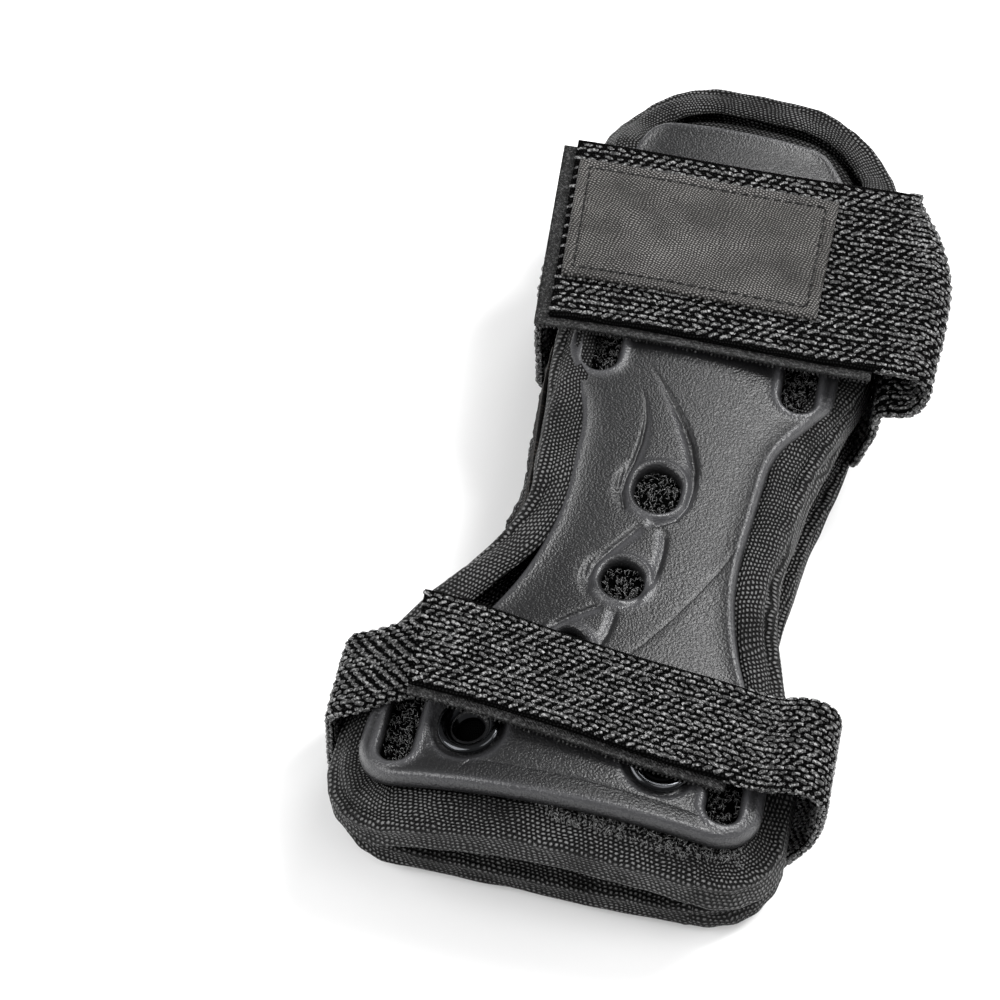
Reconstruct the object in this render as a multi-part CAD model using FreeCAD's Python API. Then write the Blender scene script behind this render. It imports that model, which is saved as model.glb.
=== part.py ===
"""Wrist guard for skiing and skating, worn on one hand.

Frame: millimetres, +Z up, +Y from the hand towards the forearm, +X towards the open side.
The origin is on the flat underside of the palm plate, the face that the guard rests on.
Palm layers are flat. Back layers are shells round one arch axis, which runs along Y below the part.
"""
import FreeCAD
import Part
import math
import os
from FreeCAD import Vector

os.makedirs("parts", exist_ok=True)

# ---- Layers, from the table up (thickness at the middle) --------------------------------------
palm_plate_thick = 2.5
palm_pad_thick = 8.0
palm_lining_thick = 1.2
hand_space = 12.2
back_lining_thick = 1.2
back_pad_thick = 9.5
loop_tape_thick = 1.6
back_plate_thick = 3.0
plate_rim_height = 0.8
arch_radius = 110.0

# ---- Back plate outline -----------------------------------------------------------------------
plate_hand_y = -81.0
plate_tip_y = 92.0
plate_hand_half = 38.5
plate_waist_half = 17.8
plate_wrist_half = 28.4
plate_tongue_half = 19.5
plate_hand_shift = -2.7
plate_waist_shift = 3.8
plate_wrist_shift = 6.4
plate_tongue_shift = 3.3
plate_hand_depth = 17.0
plate_waist_y = -32.0
plate_flare_y = 7.0
plate_ear_y = 28.0
plate_shoulder_y = 76.0
plate_flare_right = 3.0
plate_flare_left = 1.0
plate_hand_corner = 9.0
plate_hand_curve = 14.0
plate_waist_curve = 60.0
plate_flare_curve = 26.0
plate_ear_rise = 4.0
plate_ear_corner = 9.0
plate_shoulder_corner = 10.0
plate_tip_corner = 7.0

# ---- Openings in the back plate ---------------------------------------------------------------
vent_radii = (4.6, 4.3, 4.0)
vent_places = ((3.6, -8.4), (1.0, -31.0), (-6.6, -48.4))
vent_stretch = 1.8
wrist_slot_width = 7.0
wrist_slot_half_gap = 20.7
wrist_slot_start_y = 19.5
wrist_slot_end_y = 74.0
hand_slot_width = 6.2
hand_slot_half_gap = 31.0
hand_slot_start_y = -77.0
hand_slot_end_y = -54.0
rim_width = 2.2
groove_depth = 0.6
groove_width = 2.6
groove_clearance = 1.0
outer_tail_rise = 31.5
inner_tail_rise = 25.0
tail_lean = 8.0
leg_start = 8.0
leg_belly = 14.0

# ---- Pads -------------------------------------------------------------------------------------
back_hand_y = -88.0
palm_hand_y = -83.0
pad_tip_y = 109.0
pad_hand_half = 44.0
pad_hand_shift = -3.0
pad_waist_left = -20.5
pad_wrist_left = -24.5
back_waist_right = 29.5
palm_waist_right = 31.5
pad_wrist_right = 41.2
pad_dome_lean = 2.5
pad_hand_corner = 15.0
pad_dome_corner = 25.0
pad_right_hand_y = -58.0
pad_right_waist_y = -28.0
pad_right_flare = 3.5
pad_right_flare_y = 8.0
pad_right_wrist_y = 34.0
pad_left_wrist_y = 20.0
pad_left_waist_y = -18.0
pad_left_hand_y = -52.0
pad_right_hand_curve = 22.0
pad_right_waist_curve = 40.0
pad_long_curve = 60.0
pad_wrist_curve = 50.0
pad_left_waist_curve = 25.0
pad_left_hand_curve = 20.0
binding_width = 7.0
binding_inset = 0.6

# ---- Palm plate -------------------------------------------------------------------------------
palm_plate_hand_y = -68.0
palm_plate_wrist_y = 46.0
palm_plate_hand_half = 23.0
palm_plate_wrist_half = 35.0
palm_plate_hand_shift = -3.0
palm_plate_wrist_shift = 6.0
palm_plate_corner = 9.0
palm_plate_thumb_cut = 7.0
palm_plate_rounding = 0.4

# ---- Eyelets ----------------------------------------------------------------------------------
eyelet_bore = 2.4
eyelet_wall = 0.7
eyelet_flange_radius = 6.3
eyelet_flange_thick = 1.0
washer_radius = 6.0
washer_thick = 0.8
seat_depth = 0.4
seat_clearance = 0.5
flange_rounding = 0.6
hand_eyelet_half_gap = 18.2
hand_eyelet_y = -68.0
wrist_eyelet_half_gap = 13.0
wrist_eyelet_y = 66.0
palm_eyelet_inset = 12.0
palm_eyelet_left = 16.0
palm_eyelet_right = 20.0

# ---- Straps -----------------------------------------------------------------------------------
webbing_thick = 2.0
hook_tape_thick = 1.2
label_thick = 0.7
strap_clearance = 0.4
wrist_strap_width = 50.0
wrist_strap_y = 53.5
wrist_loop_reach = 13.1
wrist_loop_z = 37.0
wrist_free_end = 31.5
wrist_strap_sag_radius = 900.0
wrist_fold_radius = 3.6
hand_strap_width = 20.0
hand_strap_y = -60.0
hand_loop_reach = 6.3
hand_free_end = 34.0
hand_bump_radius = 5.5
hand_bump_dip = 30.0
hand_join_x = 31.0
hook_tape_margin = 1.0
label_width = 56.0
label_height = 32.0
label_centre_x = 0.7
label_centre_rise = 2.5
hook_tape_setback = 8.0

# ---- Sides ------------------------------------------------------------------------------------
hinge_gap = 0.6
side_clearance = 0.9
side_wall_thick = 1.2
strap_side_room = 1.0
wrap_axis_z = 26.0
wrist_swing_z = 17.0
hand_swing_z = 14.0
hand_under_run = 12.0
hand_turn_radius = 6.0
hand_tab_reach = 22.0
wrist_tab_reach = 23.0
tab_top_bend = 5.0
tab_low_bend = 1.9
tab_under_run = 5.0
wrist_tab_start_y = 40.0
wrist_tab_width = 36.0
gusset_start_y = -24.0
gusset_end_y = 27.0
thumb_hole_y = 0.0
thumb_hole_length = 24.0
thumb_hole_height = 11.0
thumb_binding_width = 1.6
thumb_binding_rise = 0.8

# ---- Levels worked out from the layers --------------------------------------------------------
palm_pad_z = palm_plate_thick
palm_lining_z = palm_pad_z + palm_pad_thick
hand_space_z = palm_lining_z + palm_lining_thick
back_lining_z = hand_space_z + hand_space
back_pad_z = back_lining_z + back_lining_thick
loop_tape_z = back_pad_z + back_pad_thick
back_plate_z = loop_tape_z + loop_tape_thick
plate_top_z = back_plate_z + back_plate_thick
rim_top_z = plate_top_z + plate_rim_height
arch_z = plate_top_z - arch_radius
strap_under_z = rim_top_z + strap_clearance
webbing_z = strap_under_z + hook_tape_thick
webbing_mid_z = webbing_z + webbing_thick / 2
webbing_top_z = webbing_z + webbing_thick
wrist_strap_start = wrist_strap_y - wrist_strap_width / 2
hand_strap_start = hand_strap_y - hand_strap_width / 2
wrist_loop_x = pad_wrist_right + wrist_loop_reach
hand_loop_x = pad_hand_shift + pad_hand_half + hand_loop_reach
far = 400.0
full_round = 0.98
least_stretch = 0.01
hook_tape_slope_trim = 2.0
least_corner = 0.5
arch_reach = math.radians(40.0)


# ---- Shared shapes ----------------------------------------------------------------------------
def rounded_face(corners, grow=0.0):
    """A flat face at z = 0 from corners (x, y, radius), listed anticlockwise and moved out by grow."""
    count = len(corners)
    points = [Vector(x, y, 0) for x, y, _ in corners]
    moved = []
    for i in range(count):
        before = (points[i] - points[i - 1]).normalize()
        after = (points[(i + 1) % count] - points[i]).normalize()
        out_before = Vector(before.y, -before.x, 0)
        out_after = Vector(after.y, -after.x, 0)
        bisector = (out_before + out_after).normalize()
        moved.append(points[i] + bisector * (grow / bisector.dot(out_before)))
    edges = []
    starts = []
    ends = []
    middles = []
    for i in range(count):
        before = (moved[i] - moved[i - 1]).normalize()
        after = (moved[(i + 1) % count] - moved[i]).normalize()
        turn = math.atan2(before.x * after.y - before.y * after.x, before.dot(after))
        radius = max(corners[i][2] + grow * math.copysign(1.0, turn), least_corner)
        reach = radius * math.tan(abs(turn) / 2)
        bisector = (after - before).normalize()
        sagitta = radius / math.cos(turn / 2) - radius
        starts.append(moved[i] - before * reach)
        ends.append(moved[i] + after * reach)
        middles.append(moved[i] + bisector * sagitta)
    for i in range(count):
        edges.append(Part.Arc(starts[i], middles[i], ends[i]).toShape())
        edges.append(Part.LineSegment(ends[i], starts[(i + 1) % count]).toShape())
    return Part.Face(Part.Wire(edges))


def column(face, low=-50.0, high=100.0):
    """The face carried straight up from low to high."""
    lifted = face.copy()
    lifted.translate(Vector(0, 0, low))
    return lifted.extrude(Vector(0, 0, high - low))


def shell(low, high):
    """The back's arched layer between two heights, which are measured at the middle."""
    edges = []
    corners = []
    for height in (low, high):
        radius = height - arch_z
        ends = [Vector(side * radius * math.sin(arch_reach), 0, arch_z + radius * math.cos(arch_reach))
                for side in (-1, 1)]
        edges.append(Part.Arc(ends[0], Vector(0, 0, height), ends[1]).toShape())
        corners.append(ends)
    edges += [Part.LineSegment(corners[0][k], corners[1][k]).toShape() for k in (0, 1)]
    face = Part.Face(Part.Wire(Part.__sortEdges__(edges)))
    face.translate(Vector(0, -far / 2, 0))
    return face.extrude(Vector(0, far, 0))


def arched(face, low, high):
    """The part of an arched layer inside an outline."""
    return column(face).common(shell(low, high))


def on_arch(shape, x):
    """Turns a shape built above the origin so that it stands square on the arch at x."""
    turned = shape.copy()
    tilt = math.degrees(math.asin(x / arch_radius))
    turned.rotate(Vector(0, 0, arch_z), Vector(0, 1, 0), tilt)
    return turned


def slot_face(x, y_low, y_high, width):
    """A slot along Y with round ends."""
    half = width / 2
    radius = half * full_round
    return rounded_face([(x - half, y_low, radius), (x + half, y_low, radius),
                         (x + half, y_high, radius), (x - half, y_high, radius)])


def ribbon(start, heading, moves, thick, y_low, width):
    """A strap of even thickness along Y. Each move is (length, 0) for a run or (radius, turn) for a bend."""
    sides = ([], [])
    point = Vector(start[0], 0, start[1])
    angle = math.radians(heading)
    for size, turn in moves:
        ahead = Vector(math.cos(angle), 0, math.sin(angle))
        left = Vector(-math.sin(angle), 0, math.cos(angle))
        if turn == 0:
            after, next_angle = point + ahead * size, angle
        else:
            bend = math.radians(turn)
            hand = math.copysign(1.0, turn)
            centre = point + left * (size * hand)
            next_angle = angle + bend
            after = centre + Vector(math.sin(next_angle), 0, -math.cos(next_angle)) * (size * hand)
        new_left = Vector(-math.sin(next_angle), 0, math.cos(next_angle))
        for side, offset in zip(sides, (thick / 2, -thick / 2)):
            first, last = point + left * offset, after + new_left * offset
            if turn == 0:
                side.append(Part.LineSegment(first, last).toShape())
            else:
                mid_angle = angle + bend / 2
                middle = centre + Vector(math.sin(mid_angle), 0, -math.cos(mid_angle)) * (
                    size * hand - offset)
                side.append(Part.Arc(first, middle, last).toShape())
        point, angle = after, next_angle
    ends = [Part.LineSegment(sides[0][k].Vertexes[v].Point, sides[1][k].Vertexes[v].Point).toShape()
            for k, v in ((0, 0), (-1, -1))]
    wire = Part.Wire(Part.__sortEdges__(sides[0] + sides[1] + ends))
    face = Part.Face(wire)
    face.translate(Vector(0, y_low, 0))
    return face.extrude(Vector(0, width, 0))


def save(name, shape):
    """Writes one node."""
    shape.exportStep(f"parts/{name}.step")


# ---- Outlines ---------------------------------------------------------------------------------
def plate_corners():
    """The back plate: broad over the hand, narrow at the waist, eared at the wrist, with a tongue."""
    hand, waist, wrist, tongue = plate_hand_shift, plate_waist_shift, plate_wrist_shift, plate_tongue_shift
    right = [(hand + plate_hand_half, plate_hand_y, plate_hand_corner),
             (hand + plate_hand_half, plate_hand_y + plate_hand_depth, plate_hand_curve),
             (waist + plate_waist_half, plate_waist_y, plate_waist_curve),
             (waist + plate_waist_half + plate_flare_right, plate_flare_y, plate_flare_curve),
             (wrist + plate_wrist_half, plate_ear_y - plate_ear_rise, plate_ear_corner),
             (wrist + plate_wrist_half, plate_shoulder_y, plate_shoulder_corner),
             (tongue + plate_tongue_half, plate_tip_y, plate_tip_corner)]
    left = [(tongue - plate_tongue_half, plate_tip_y, plate_tip_corner),
            (wrist - plate_wrist_half, plate_shoulder_y, plate_shoulder_corner),
            (wrist - plate_wrist_half, plate_ear_y - plate_ear_rise, plate_ear_corner),
            (waist - plate_waist_half - plate_flare_left, plate_flare_y, plate_flare_curve),
            (waist - plate_waist_half, plate_waist_y, plate_waist_curve),
            (hand - plate_hand_half, plate_hand_y + plate_hand_depth, plate_hand_curve),
            (hand - plate_hand_half, plate_hand_y, plate_hand_corner)]
    return right + left


def pad_corners(waist_right, hand_y):
    """Both pads: a rounded hand end, a waist, and a domed forearm end."""
    left, right = pad_hand_shift - pad_hand_half, pad_hand_shift + pad_hand_half
    return [(right, hand_y, pad_hand_corner),
            (right, pad_right_hand_y, pad_right_hand_curve),
            (waist_right, pad_right_waist_y, pad_right_waist_curve),
            (waist_right + pad_right_flare, pad_right_flare_y, pad_long_curve),
            (pad_wrist_right, pad_right_wrist_y, pad_wrist_curve),
            (pad_wrist_right, pad_tip_y, pad_dome_corner),
            (pad_wrist_left - pad_dome_lean, pad_tip_y, pad_dome_corner),
            (pad_wrist_left, pad_left_wrist_y, pad_long_curve),
            (pad_waist_left, pad_left_waist_y, pad_left_waist_curve),
            (left, pad_left_hand_y, pad_left_hand_curve),
            (left, hand_y, pad_hand_corner)]


def palm_plate_corners():
    """The palm plate: a flat shield, broader at the heel of the hand."""
    hand, wrist = palm_plate_hand_shift, palm_plate_wrist_shift
    corner = palm_plate_corner
    return [(hand + palm_plate_hand_half, palm_plate_hand_y, corner),
            (wrist + palm_plate_wrist_half, palm_plate_wrist_y, corner),
            (wrist - palm_plate_wrist_half + palm_plate_thumb_cut, palm_plate_wrist_y, corner),
            (hand - palm_plate_hand_half, palm_plate_hand_y, corner)]


back_outline = pad_corners(back_waist_right, back_hand_y)
palm_outline = pad_corners(palm_waist_right, palm_hand_y)


# ---- Eyelets ----------------------------------------------------------------------------------
def place(shape, x, y):
    """The shape moved over the guard, level with where it was."""
    moved = shape.copy()
    moved.translate(Vector(x, y, 0))
    return moved


def eyelet(low, high):
    """A hollow eyelet: a tube from low to high with a rounded flange on top and a rolled foot."""
    tube = Part.makeCylinder(eyelet_bore + eyelet_wall, high - low, Vector(0, 0, low))
    flange = Part.makeCylinder(eyelet_flange_radius, eyelet_flange_thick, Vector(0, 0, high))
    flange = flange.makeFillet(eyelet_flange_thick * flange_rounding, [flange.Edges[0]])
    bore = Part.makeCylinder(eyelet_bore, high - low + far, Vector(0, 0, low - 1.0))
    return tube.fuse(flange).removeSplitter().cut(bore)


def washer(low):
    """The flat washer under an eyelet, round its tube."""
    disc = Part.makeCylinder(washer_radius, washer_thick, Vector(0, 0, low))
    return disc.cut(Part.makeCylinder(eyelet_bore + eyelet_wall, far, Vector(0, 0, low - 1.0)))


hand_eyelets = [(plate_hand_shift + side * hand_eyelet_half_gap, hand_eyelet_y) for side in (-1, 1)]
wrist_eyelets = [(plate_wrist_shift + side * wrist_eyelet_half_gap, wrist_eyelet_y) for side in (-1, 1)]
palm_eyelets = [(palm_plate_hand_shift, palm_plate_hand_y + palm_eyelet_inset),
                (palm_plate_wrist_shift - palm_eyelet_left, palm_plate_wrist_y - palm_eyelet_inset),
                (palm_plate_wrist_shift + palm_eyelet_right, palm_plate_wrist_y - palm_eyelet_inset)]
eyelet_seat_z = plate_top_z - seat_depth


def back_eyelets(places):
    """Eyelets that hold the back plate to its pad."""
    return [place(on_arch(eyelet(back_pad_z, eyelet_seat_z), x), 0, y) for x, y in places]


def back_washers(places):
    """Washers under those eyelets, let into the underside of the pad."""
    return [place(on_arch(washer(back_pad_z), x), 0, y) for x, y in places]


def back_drill(places, radius, low, high):
    """Round cutters square to the arch."""
    return [place(on_arch(Part.makeCylinder(radius, high - low, Vector(0, 0, low)), x), 0, y)
            for x, y in places]


def cut_all(shape, cutters):
    """The shape less every cutter."""
    return shape.cut(Part.Compound(cutters))


# ---- Back plate -------------------------------------------------------------------------------
def crescent(tip, belly, tail, width):
    """A curved groove outline that is widest at its belly and runs out to a point at its tip."""
    points = [Vector(x, y, 0) for x, y in (tip, belly, tail)]
    across = (points[2] - points[0]).normalize()
    side = Vector(across.y, -across.x, 0)
    outer = Part.Arc(points[0], points[1] + side * (width / 2), points[2] + side * (width / 2)).toShape()
    inner = Part.Arc(points[0], points[1] - side * (width / 2), points[2] - side * (width / 2)).toShape()
    end = Part.LineSegment(points[2] + side * (width / 2), points[2] - side * (width / 2)).toShape()
    return Part.Face(Part.Wire([outer, end, inner]))


def make_back_plate():
    """The arched shield with its rim, strap slots, vents, moulded grooves and eyelet seats."""
    outline = rounded_face(plate_corners())
    inside = rounded_face(plate_corners(), -rim_width)
    plate = arched(outline, back_plate_z, plate_top_z)
    rim = arched(outline.cut(inside), plate_top_z, rim_top_z)
    plate = plate.fuse(rim).removeSplitter()
    cutters = []
    for side in (-1, 1):
        cutters.append(column(slot_face(plate_wrist_shift + side * wrist_slot_half_gap,
                                        wrist_slot_start_y, wrist_slot_end_y, wrist_slot_width)))
        cutters.append(column(slot_face(plate_hand_shift + side * hand_slot_half_gap,
                                        hand_slot_start_y, hand_slot_end_y, hand_slot_width)))
    for (x, y), radius, stretch in zip(vent_places, vent_radii, (vent_stretch, least_stretch, least_stretch)):
        half = radius + stretch / 2
        vent = column(slot_face(0, -half, half, radius * 2), 0.0)
        cutters.append(place(on_arch(vent, x), 0, y))
    for x, y in hand_eyelets + wrist_eyelets:
        cutters += back_drill([(x, y)], eyelet_bore + eyelet_wall, 0.0, 100.0)
        cutters += back_drill([(x, y)], eyelet_flange_radius + seat_clearance, eyelet_seat_z, 100.0)
    groove_layer = shell(plate_top_z - groove_depth, plate_top_z + 5.0)
    first, second, third = vent_places
    first_edge, second_edge, third_edge = (radius + groove_clearance for radius in vent_radii)
    narrow = groove_width * 0.6
    swoops = [crescent((first[0] - tail_lean, first[1] + outer_tail_rise),
                       (first[0] + first_edge - 2.0, first[1] + leg_belly),
                       (first[0] + first_edge + 0.8, first[1] - 1.0), groove_width),
              crescent((first[0] - tail_lean, first[1] + inner_tail_rise),
                       (first[0] - first_edge + 1.0, first[1] + leg_belly),
                       (first[0] - first_edge - 0.5, first[1] - 1.0), narrow),
              crescent((first[0] + 1.6, first[1] - leg_start), (first[0] + 3.4, first[1] - leg_belly),
                       (second[0] + second_edge - 0.4, second[1] - 0.5), narrow),
              crescent((first[0] - 1.6, first[1] - leg_start), (first[0] - 5.0, first[1] - leg_belly),
                       (second[0] - second_edge - 0.3, second[1] + 0.5), narrow),
              crescent((second[0] - 0.4, second[1] - second_edge), (second[0] + 0.2, second[1] - 11.0),
                       (third[0] + third_edge - 0.2, third[1] + 0.5), narrow)]
    cutters += [column(face).common(groove_layer) for face in swoops]
    return cut_all(plate, cutters)


# ---- Back side --------------------------------------------------------------------------------
def bound_pad(corners, layer, low, high, inset):
    """A pad and the binding round its edge, as two solids that meet."""
    inside = rounded_face(corners, -binding_width)
    edge = rounded_face(corners).cut(inside)
    return layer(inside, low, high), layer(edge, low + inset, high - binding_inset)


def flat(face, low, high):
    """A flat layer inside an outline."""
    return column(face, low, high)


def make_back_side():
    """The plate, loop tape, pad, binding and lining over the back of the hand, with their eyelets."""
    pad, binding = bound_pad(back_outline, arched, back_pad_z, loop_tape_z, binding_inset)
    lining = arched(rounded_face(back_outline, -binding_width), back_lining_z, back_pad_z)
    tape = arched(rounded_face(plate_corners(), -rim_width), loop_tape_z, back_plate_z)
    holes = hand_eyelets + wrist_eyelets
    tube = back_drill(holes, eyelet_bore + eyelet_wall, 0.0, 100.0)
    recess = back_drill(holes, washer_radius, back_lining_z, back_pad_z + washer_thick)
    save("back_plate", make_back_plate())
    save("back_pad", cut_all(pad, tube + recess))
    save("back_pad_binding", binding)
    save("back_lining", lining)
    save("back_loop_tape", cut_all(tape, tube))
    save("hand_end_eyelets", Part.Compound(back_eyelets(hand_eyelets)))
    save("hand_end_washers", Part.Compound(back_washers(hand_eyelets)))
    save("wrist_end_eyelets", Part.Compound(back_eyelets(wrist_eyelets)))
    save("wrist_end_washers", Part.Compound(back_washers(wrist_eyelets)))


# ---- Palm side --------------------------------------------------------------------------------
def make_palm_side():
    """The palm plate, pad, binding and lining, with their eyelets."""
    pad, binding = bound_pad(palm_outline, flat, palm_pad_z, palm_lining_z, 0.0)
    lining = flat(rounded_face(palm_outline, -binding_width), palm_lining_z, hand_space_z)
    plate = flat(rounded_face(palm_plate_corners()), 0.0, palm_plate_thick)
    top_edges = [edge for edge in plate.Edges if abs(edge.BoundBox.ZMax) < 0.01]
    plate = plate.makeFillet(palm_plate_thick * palm_plate_rounding, top_edges)
    foot_seat = washer_thick + 0.2
    eyelets, washers, tubes, seats = [], [], [], []
    for x, y in palm_eyelets:
        turned = eyelet(foot_seat, palm_lining_z - eyelet_flange_thick)
        eyelets.append(place(turned, x, y))
        washers.append(place(washer(foot_seat), x, y))
        tubes.append(place(Part.makeCylinder(eyelet_bore + eyelet_wall, far, Vector(0, 0, -1)), x, y))
        seats.append(place(Part.makeCylinder(eyelet_flange_radius, far,
                                             Vector(0, 0, palm_lining_z - eyelet_flange_thick)), x, y))
        seats.append(place(Part.makeCylinder(washer_radius, foot_seat + washer_thick + 1,
                                             Vector(0, 0, -1)), x, y))
    save("palm_plate", cut_all(plate, tubes + seats))
    save("palm_pad", cut_all(pad, tubes + seats))
    save("palm_pad_binding", binding)
    save("palm_lining", lining)
    save("palm_eyelets", Part.Compound(eyelets))
    save("palm_eyelet_washers", Part.Compound(washers))


# ---- Side gusset with the thumb opening -------------------------------------------------------
def make_side():
    """The stretch wall that joins the two sides at the thumb, with its bound opening."""
    edge = rounded_face(palm_outline)
    inner = rounded_face(palm_outline, side_clearance)
    outer = rounded_face(palm_outline, side_clearance + side_wall_thick)
    top = wrap_axis_z + 1.0
    seam_low, seam_high = palm_pad_z + binding_inset, palm_lining_z - binding_inset
    wall = column(outer.cut(inner), seam_high, top).fuse(column(outer.cut(edge), seam_low, seam_high))
    region = Part.makeBox(60.0, gusset_end_y - gusset_start_y, far, Vector(-60.0, gusset_start_y, 0.0))
    wall = wall.removeSplitter().common(region)
    middle = (hand_space_z + palm_lining_z) / 2 + thumb_hole_height / 2
    hole = thumb_cutter(0.0, middle)
    grown = thumb_cutter(thumb_binding_width, middle)
    band_outer = rounded_face(palm_outline, side_clearance + side_wall_thick + thumb_binding_rise)
    band = column(band_outer.cut(outer), palm_pad_z, top).common(region)
    save("side_gusset", wall.cut(hole))
    save("thumb_hole_binding", band.common(grown).cut(hole))


def thumb_cutter(grow, middle):
    """A rounded bar along X that cuts the thumb opening through the side wall."""
    half_length, half_height = thumb_hole_length / 2 + grow, thumb_hole_height / 2 + grow
    radius = half_height * 0.95
    face = rounded_face([(-half_length, -half_height, radius), (half_length, -half_height, radius),
                         (half_length, half_height, radius), (-half_length, half_height, radius)])
    face.rotate(Vector(0, 0, 0), Vector(0, 0, 1), 90)
    face.rotate(Vector(0, 0, 0), Vector(0, 1, 0), 90)
    face.translate(Vector(-60.0, thumb_hole_y, middle))
    return face.extrude(Vector(60.0, 0, 0))


# ---- Straps -----------------------------------------------------------------------------------
def arc_angle(x, radius):
    """The turn, in degrees, of an arc of this radius that covers x."""
    return math.degrees(math.asin(x / radius))


def make_wrist_strap():
    """The broad strap: anchor, riser, flap, hook tape and label."""
    low, width, half_gap = wrist_strap_start, wrist_strap_width, hinge_gap / 2
    side_x = pad_wrist_right + strap_side_room + webbing_thick / 2
    top_radius = webbing_mid_z - wrist_loop_z - half_gap
    turn_x = wrist_loop_x - top_radius
    low_radius = wrist_loop_x - side_x - wrist_fold_radius
    fold_z = wrist_loop_z - half_gap - low_radius - wrist_fold_radius
    sag_radius = wrist_strap_sag_radius
    flap = [(top_radius, 90), (turn_x, 0), (sag_radius, arc_angle(wrist_free_end, sag_radius))]
    riser = [(fold_z - wrist_swing_z - half_gap, 0), (wrist_fold_radius, -90), (low_radius, 90)]
    anchor_low = palm_pad_z + binding_inset
    save("wrist_strap_anchor", ribbon((side_x - strap_side_room / 2, anchor_low), 90,
                                      [(palm_lining_z - anchor_low, 0)],
                                      webbing_thick + strap_side_room, low, width).fuse(
        ribbon((side_x, palm_lining_z), 90, [(wrist_swing_z - half_gap - palm_lining_z, 0)],
               webbing_thick, low, width)).removeSplitter())
    save("wrist_strap_riser", ribbon((side_x, wrist_swing_z + half_gap), 90, riser,
                                     webbing_thick, low, width))
    save("wrist_strap_flap", ribbon((wrist_loop_x, wrist_loop_z + half_gap), 90, flap,
                                    webbing_thick, low, width))
    tape_radius = sag_radius - (webbing_thick + hook_tape_thick) / 2
    tape_turn = arc_angle(wrist_free_end + hook_tape_margin, tape_radius)
    tape_right = turn_x - hook_tape_setback
    save("wrist_strap_hook_tape", ribbon((tape_right, webbing_z - hook_tape_thick / 2), 180,
                                         [(tape_right, 0), (tape_radius, tape_turn)],
                                         hook_tape_thick, low - hook_tape_margin, width))
    label_radius = sag_radius + (webbing_thick + label_thick) / 2
    label_right = label_centre_x + label_width / 2
    label_turn = arc_angle(label_width - label_right, label_radius)
    save("wrist_strap_label", ribbon((label_right, webbing_top_z + label_thick / 2), 180,
                                     [(label_right, 0), (label_radius, label_turn)],
                                     label_thick, wrist_strap_y + label_centre_rise - label_height / 2,
                                     label_height))


def make_hand_strap():
    """The narrow strap: anchor, riser, flap and hook tape."""
    low, width, half_gap = hand_strap_start, hand_strap_width, hinge_gap / 2
    strap_radius = webbing_mid_z - arch_z
    slope = arc_angle(hand_join_x, strap_radius)
    join_z = arch_z + strap_radius * math.cos(math.radians(slope))
    dip = math.radians(hand_bump_dip)
    bump_end_x = hand_loop_x - hand_bump_radius - hand_bump_radius * math.sin(dip)
    rise = math.radians(slope)
    valley_radius = (bump_end_x - hand_join_x) / (math.sin(dip) + math.sin(rise))
    fall = valley_radius * (math.cos(rise) - math.cos(dip))
    loop_z = join_z + fall - hand_bump_radius * math.cos(dip)
    flap = [(hand_bump_radius, 90 + hand_bump_dip), (valley_radius, -hand_bump_dip - slope),
            (strap_radius, slope), (hand_free_end, 0)]
    bend_x = hand_loop_x - hand_turn_radius
    anchor_z = palm_pad_z - webbing_thick / 2
    anchor = [(hand_under_run, 0), (hand_turn_radius, 90),
              (hand_swing_z - half_gap - anchor_z - hand_turn_radius, 0)]
    save("hand_strap_anchor", ribbon((bend_x - hand_under_run, anchor_z), 0, anchor,
                                     webbing_thick, low, width))
    save("hand_strap_riser", ribbon((hand_loop_x, hand_swing_z + half_gap), 90,
                                    [(loop_z - hinge_gap - hand_swing_z - half_gap, 0)],
                                    webbing_thick, low, width))
    save("hand_strap_flap", ribbon((hand_loop_x, loop_z), 90, flap, webbing_thick, low, width))
    tape_radius = webbing_z - hook_tape_thick / 2 - arch_z
    tape_slope = slope - hook_tape_slope_trim
    start = (tape_radius * math.sin(math.radians(tape_slope)),
             arch_z + tape_radius * math.cos(math.radians(tape_slope)))
    save("hand_strap_hook_tape", ribbon(start, 180 - tape_slope,
                                        [(tape_radius, tape_slope), (hand_free_end, 0)],
                                        hook_tape_thick, low - hook_tape_margin, width))


# ---- Counter tabs on the closed side ----------------------------------------------------------
def make_tab(prefix, edge_x, reach_x, low, width):
    """The webbing that comes round the closed side and lies on the plate under a strap's free end."""
    half = webbing_thick / 2
    side_x = edge_x - strap_side_room - half
    ring = rim_top_z + half - arch_z
    slope = arc_angle(-side_x - tab_top_bend, ring - tab_top_bend)
    top = arc_angle(reach_x, ring)
    bend_z = arch_z + (ring - tab_top_bend) * math.cos(math.radians(slope))
    start_z = wrap_axis_z + hinge_gap / 2
    save(prefix + "_tab", ribbon((side_x, start_z), 90,
                                 [(bend_z - start_z, 0), (tab_top_bend, slope - 90),
                                  (ring, top - slope)],
                                 webbing_thick, low, width))
    under_z = palm_pad_z - half
    base_z = wrap_axis_z - hinge_gap / 2
    save(prefix + "_tab_base", ribbon((side_x + tab_low_bend + tab_under_run, under_z), 180,
                                      [(tab_under_run, 0), (tab_low_bend, -90),
                                       (base_z - under_z - tab_low_bend, 0)],
                                      webbing_thick, low, width))


make_back_side()
make_palm_side()
make_side()
make_wrist_strap()
make_hand_strap()
make_tab("hand_strap", pad_hand_shift - pad_hand_half, hand_tab_reach, hand_strap_start,
         hand_strap_width)
make_tab("wrist_strap", pad_wrist_left - pad_dome_lean - side_clearance - side_wall_thick,
         wrist_tab_reach, wrist_tab_start_y, wrist_tab_width)
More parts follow.
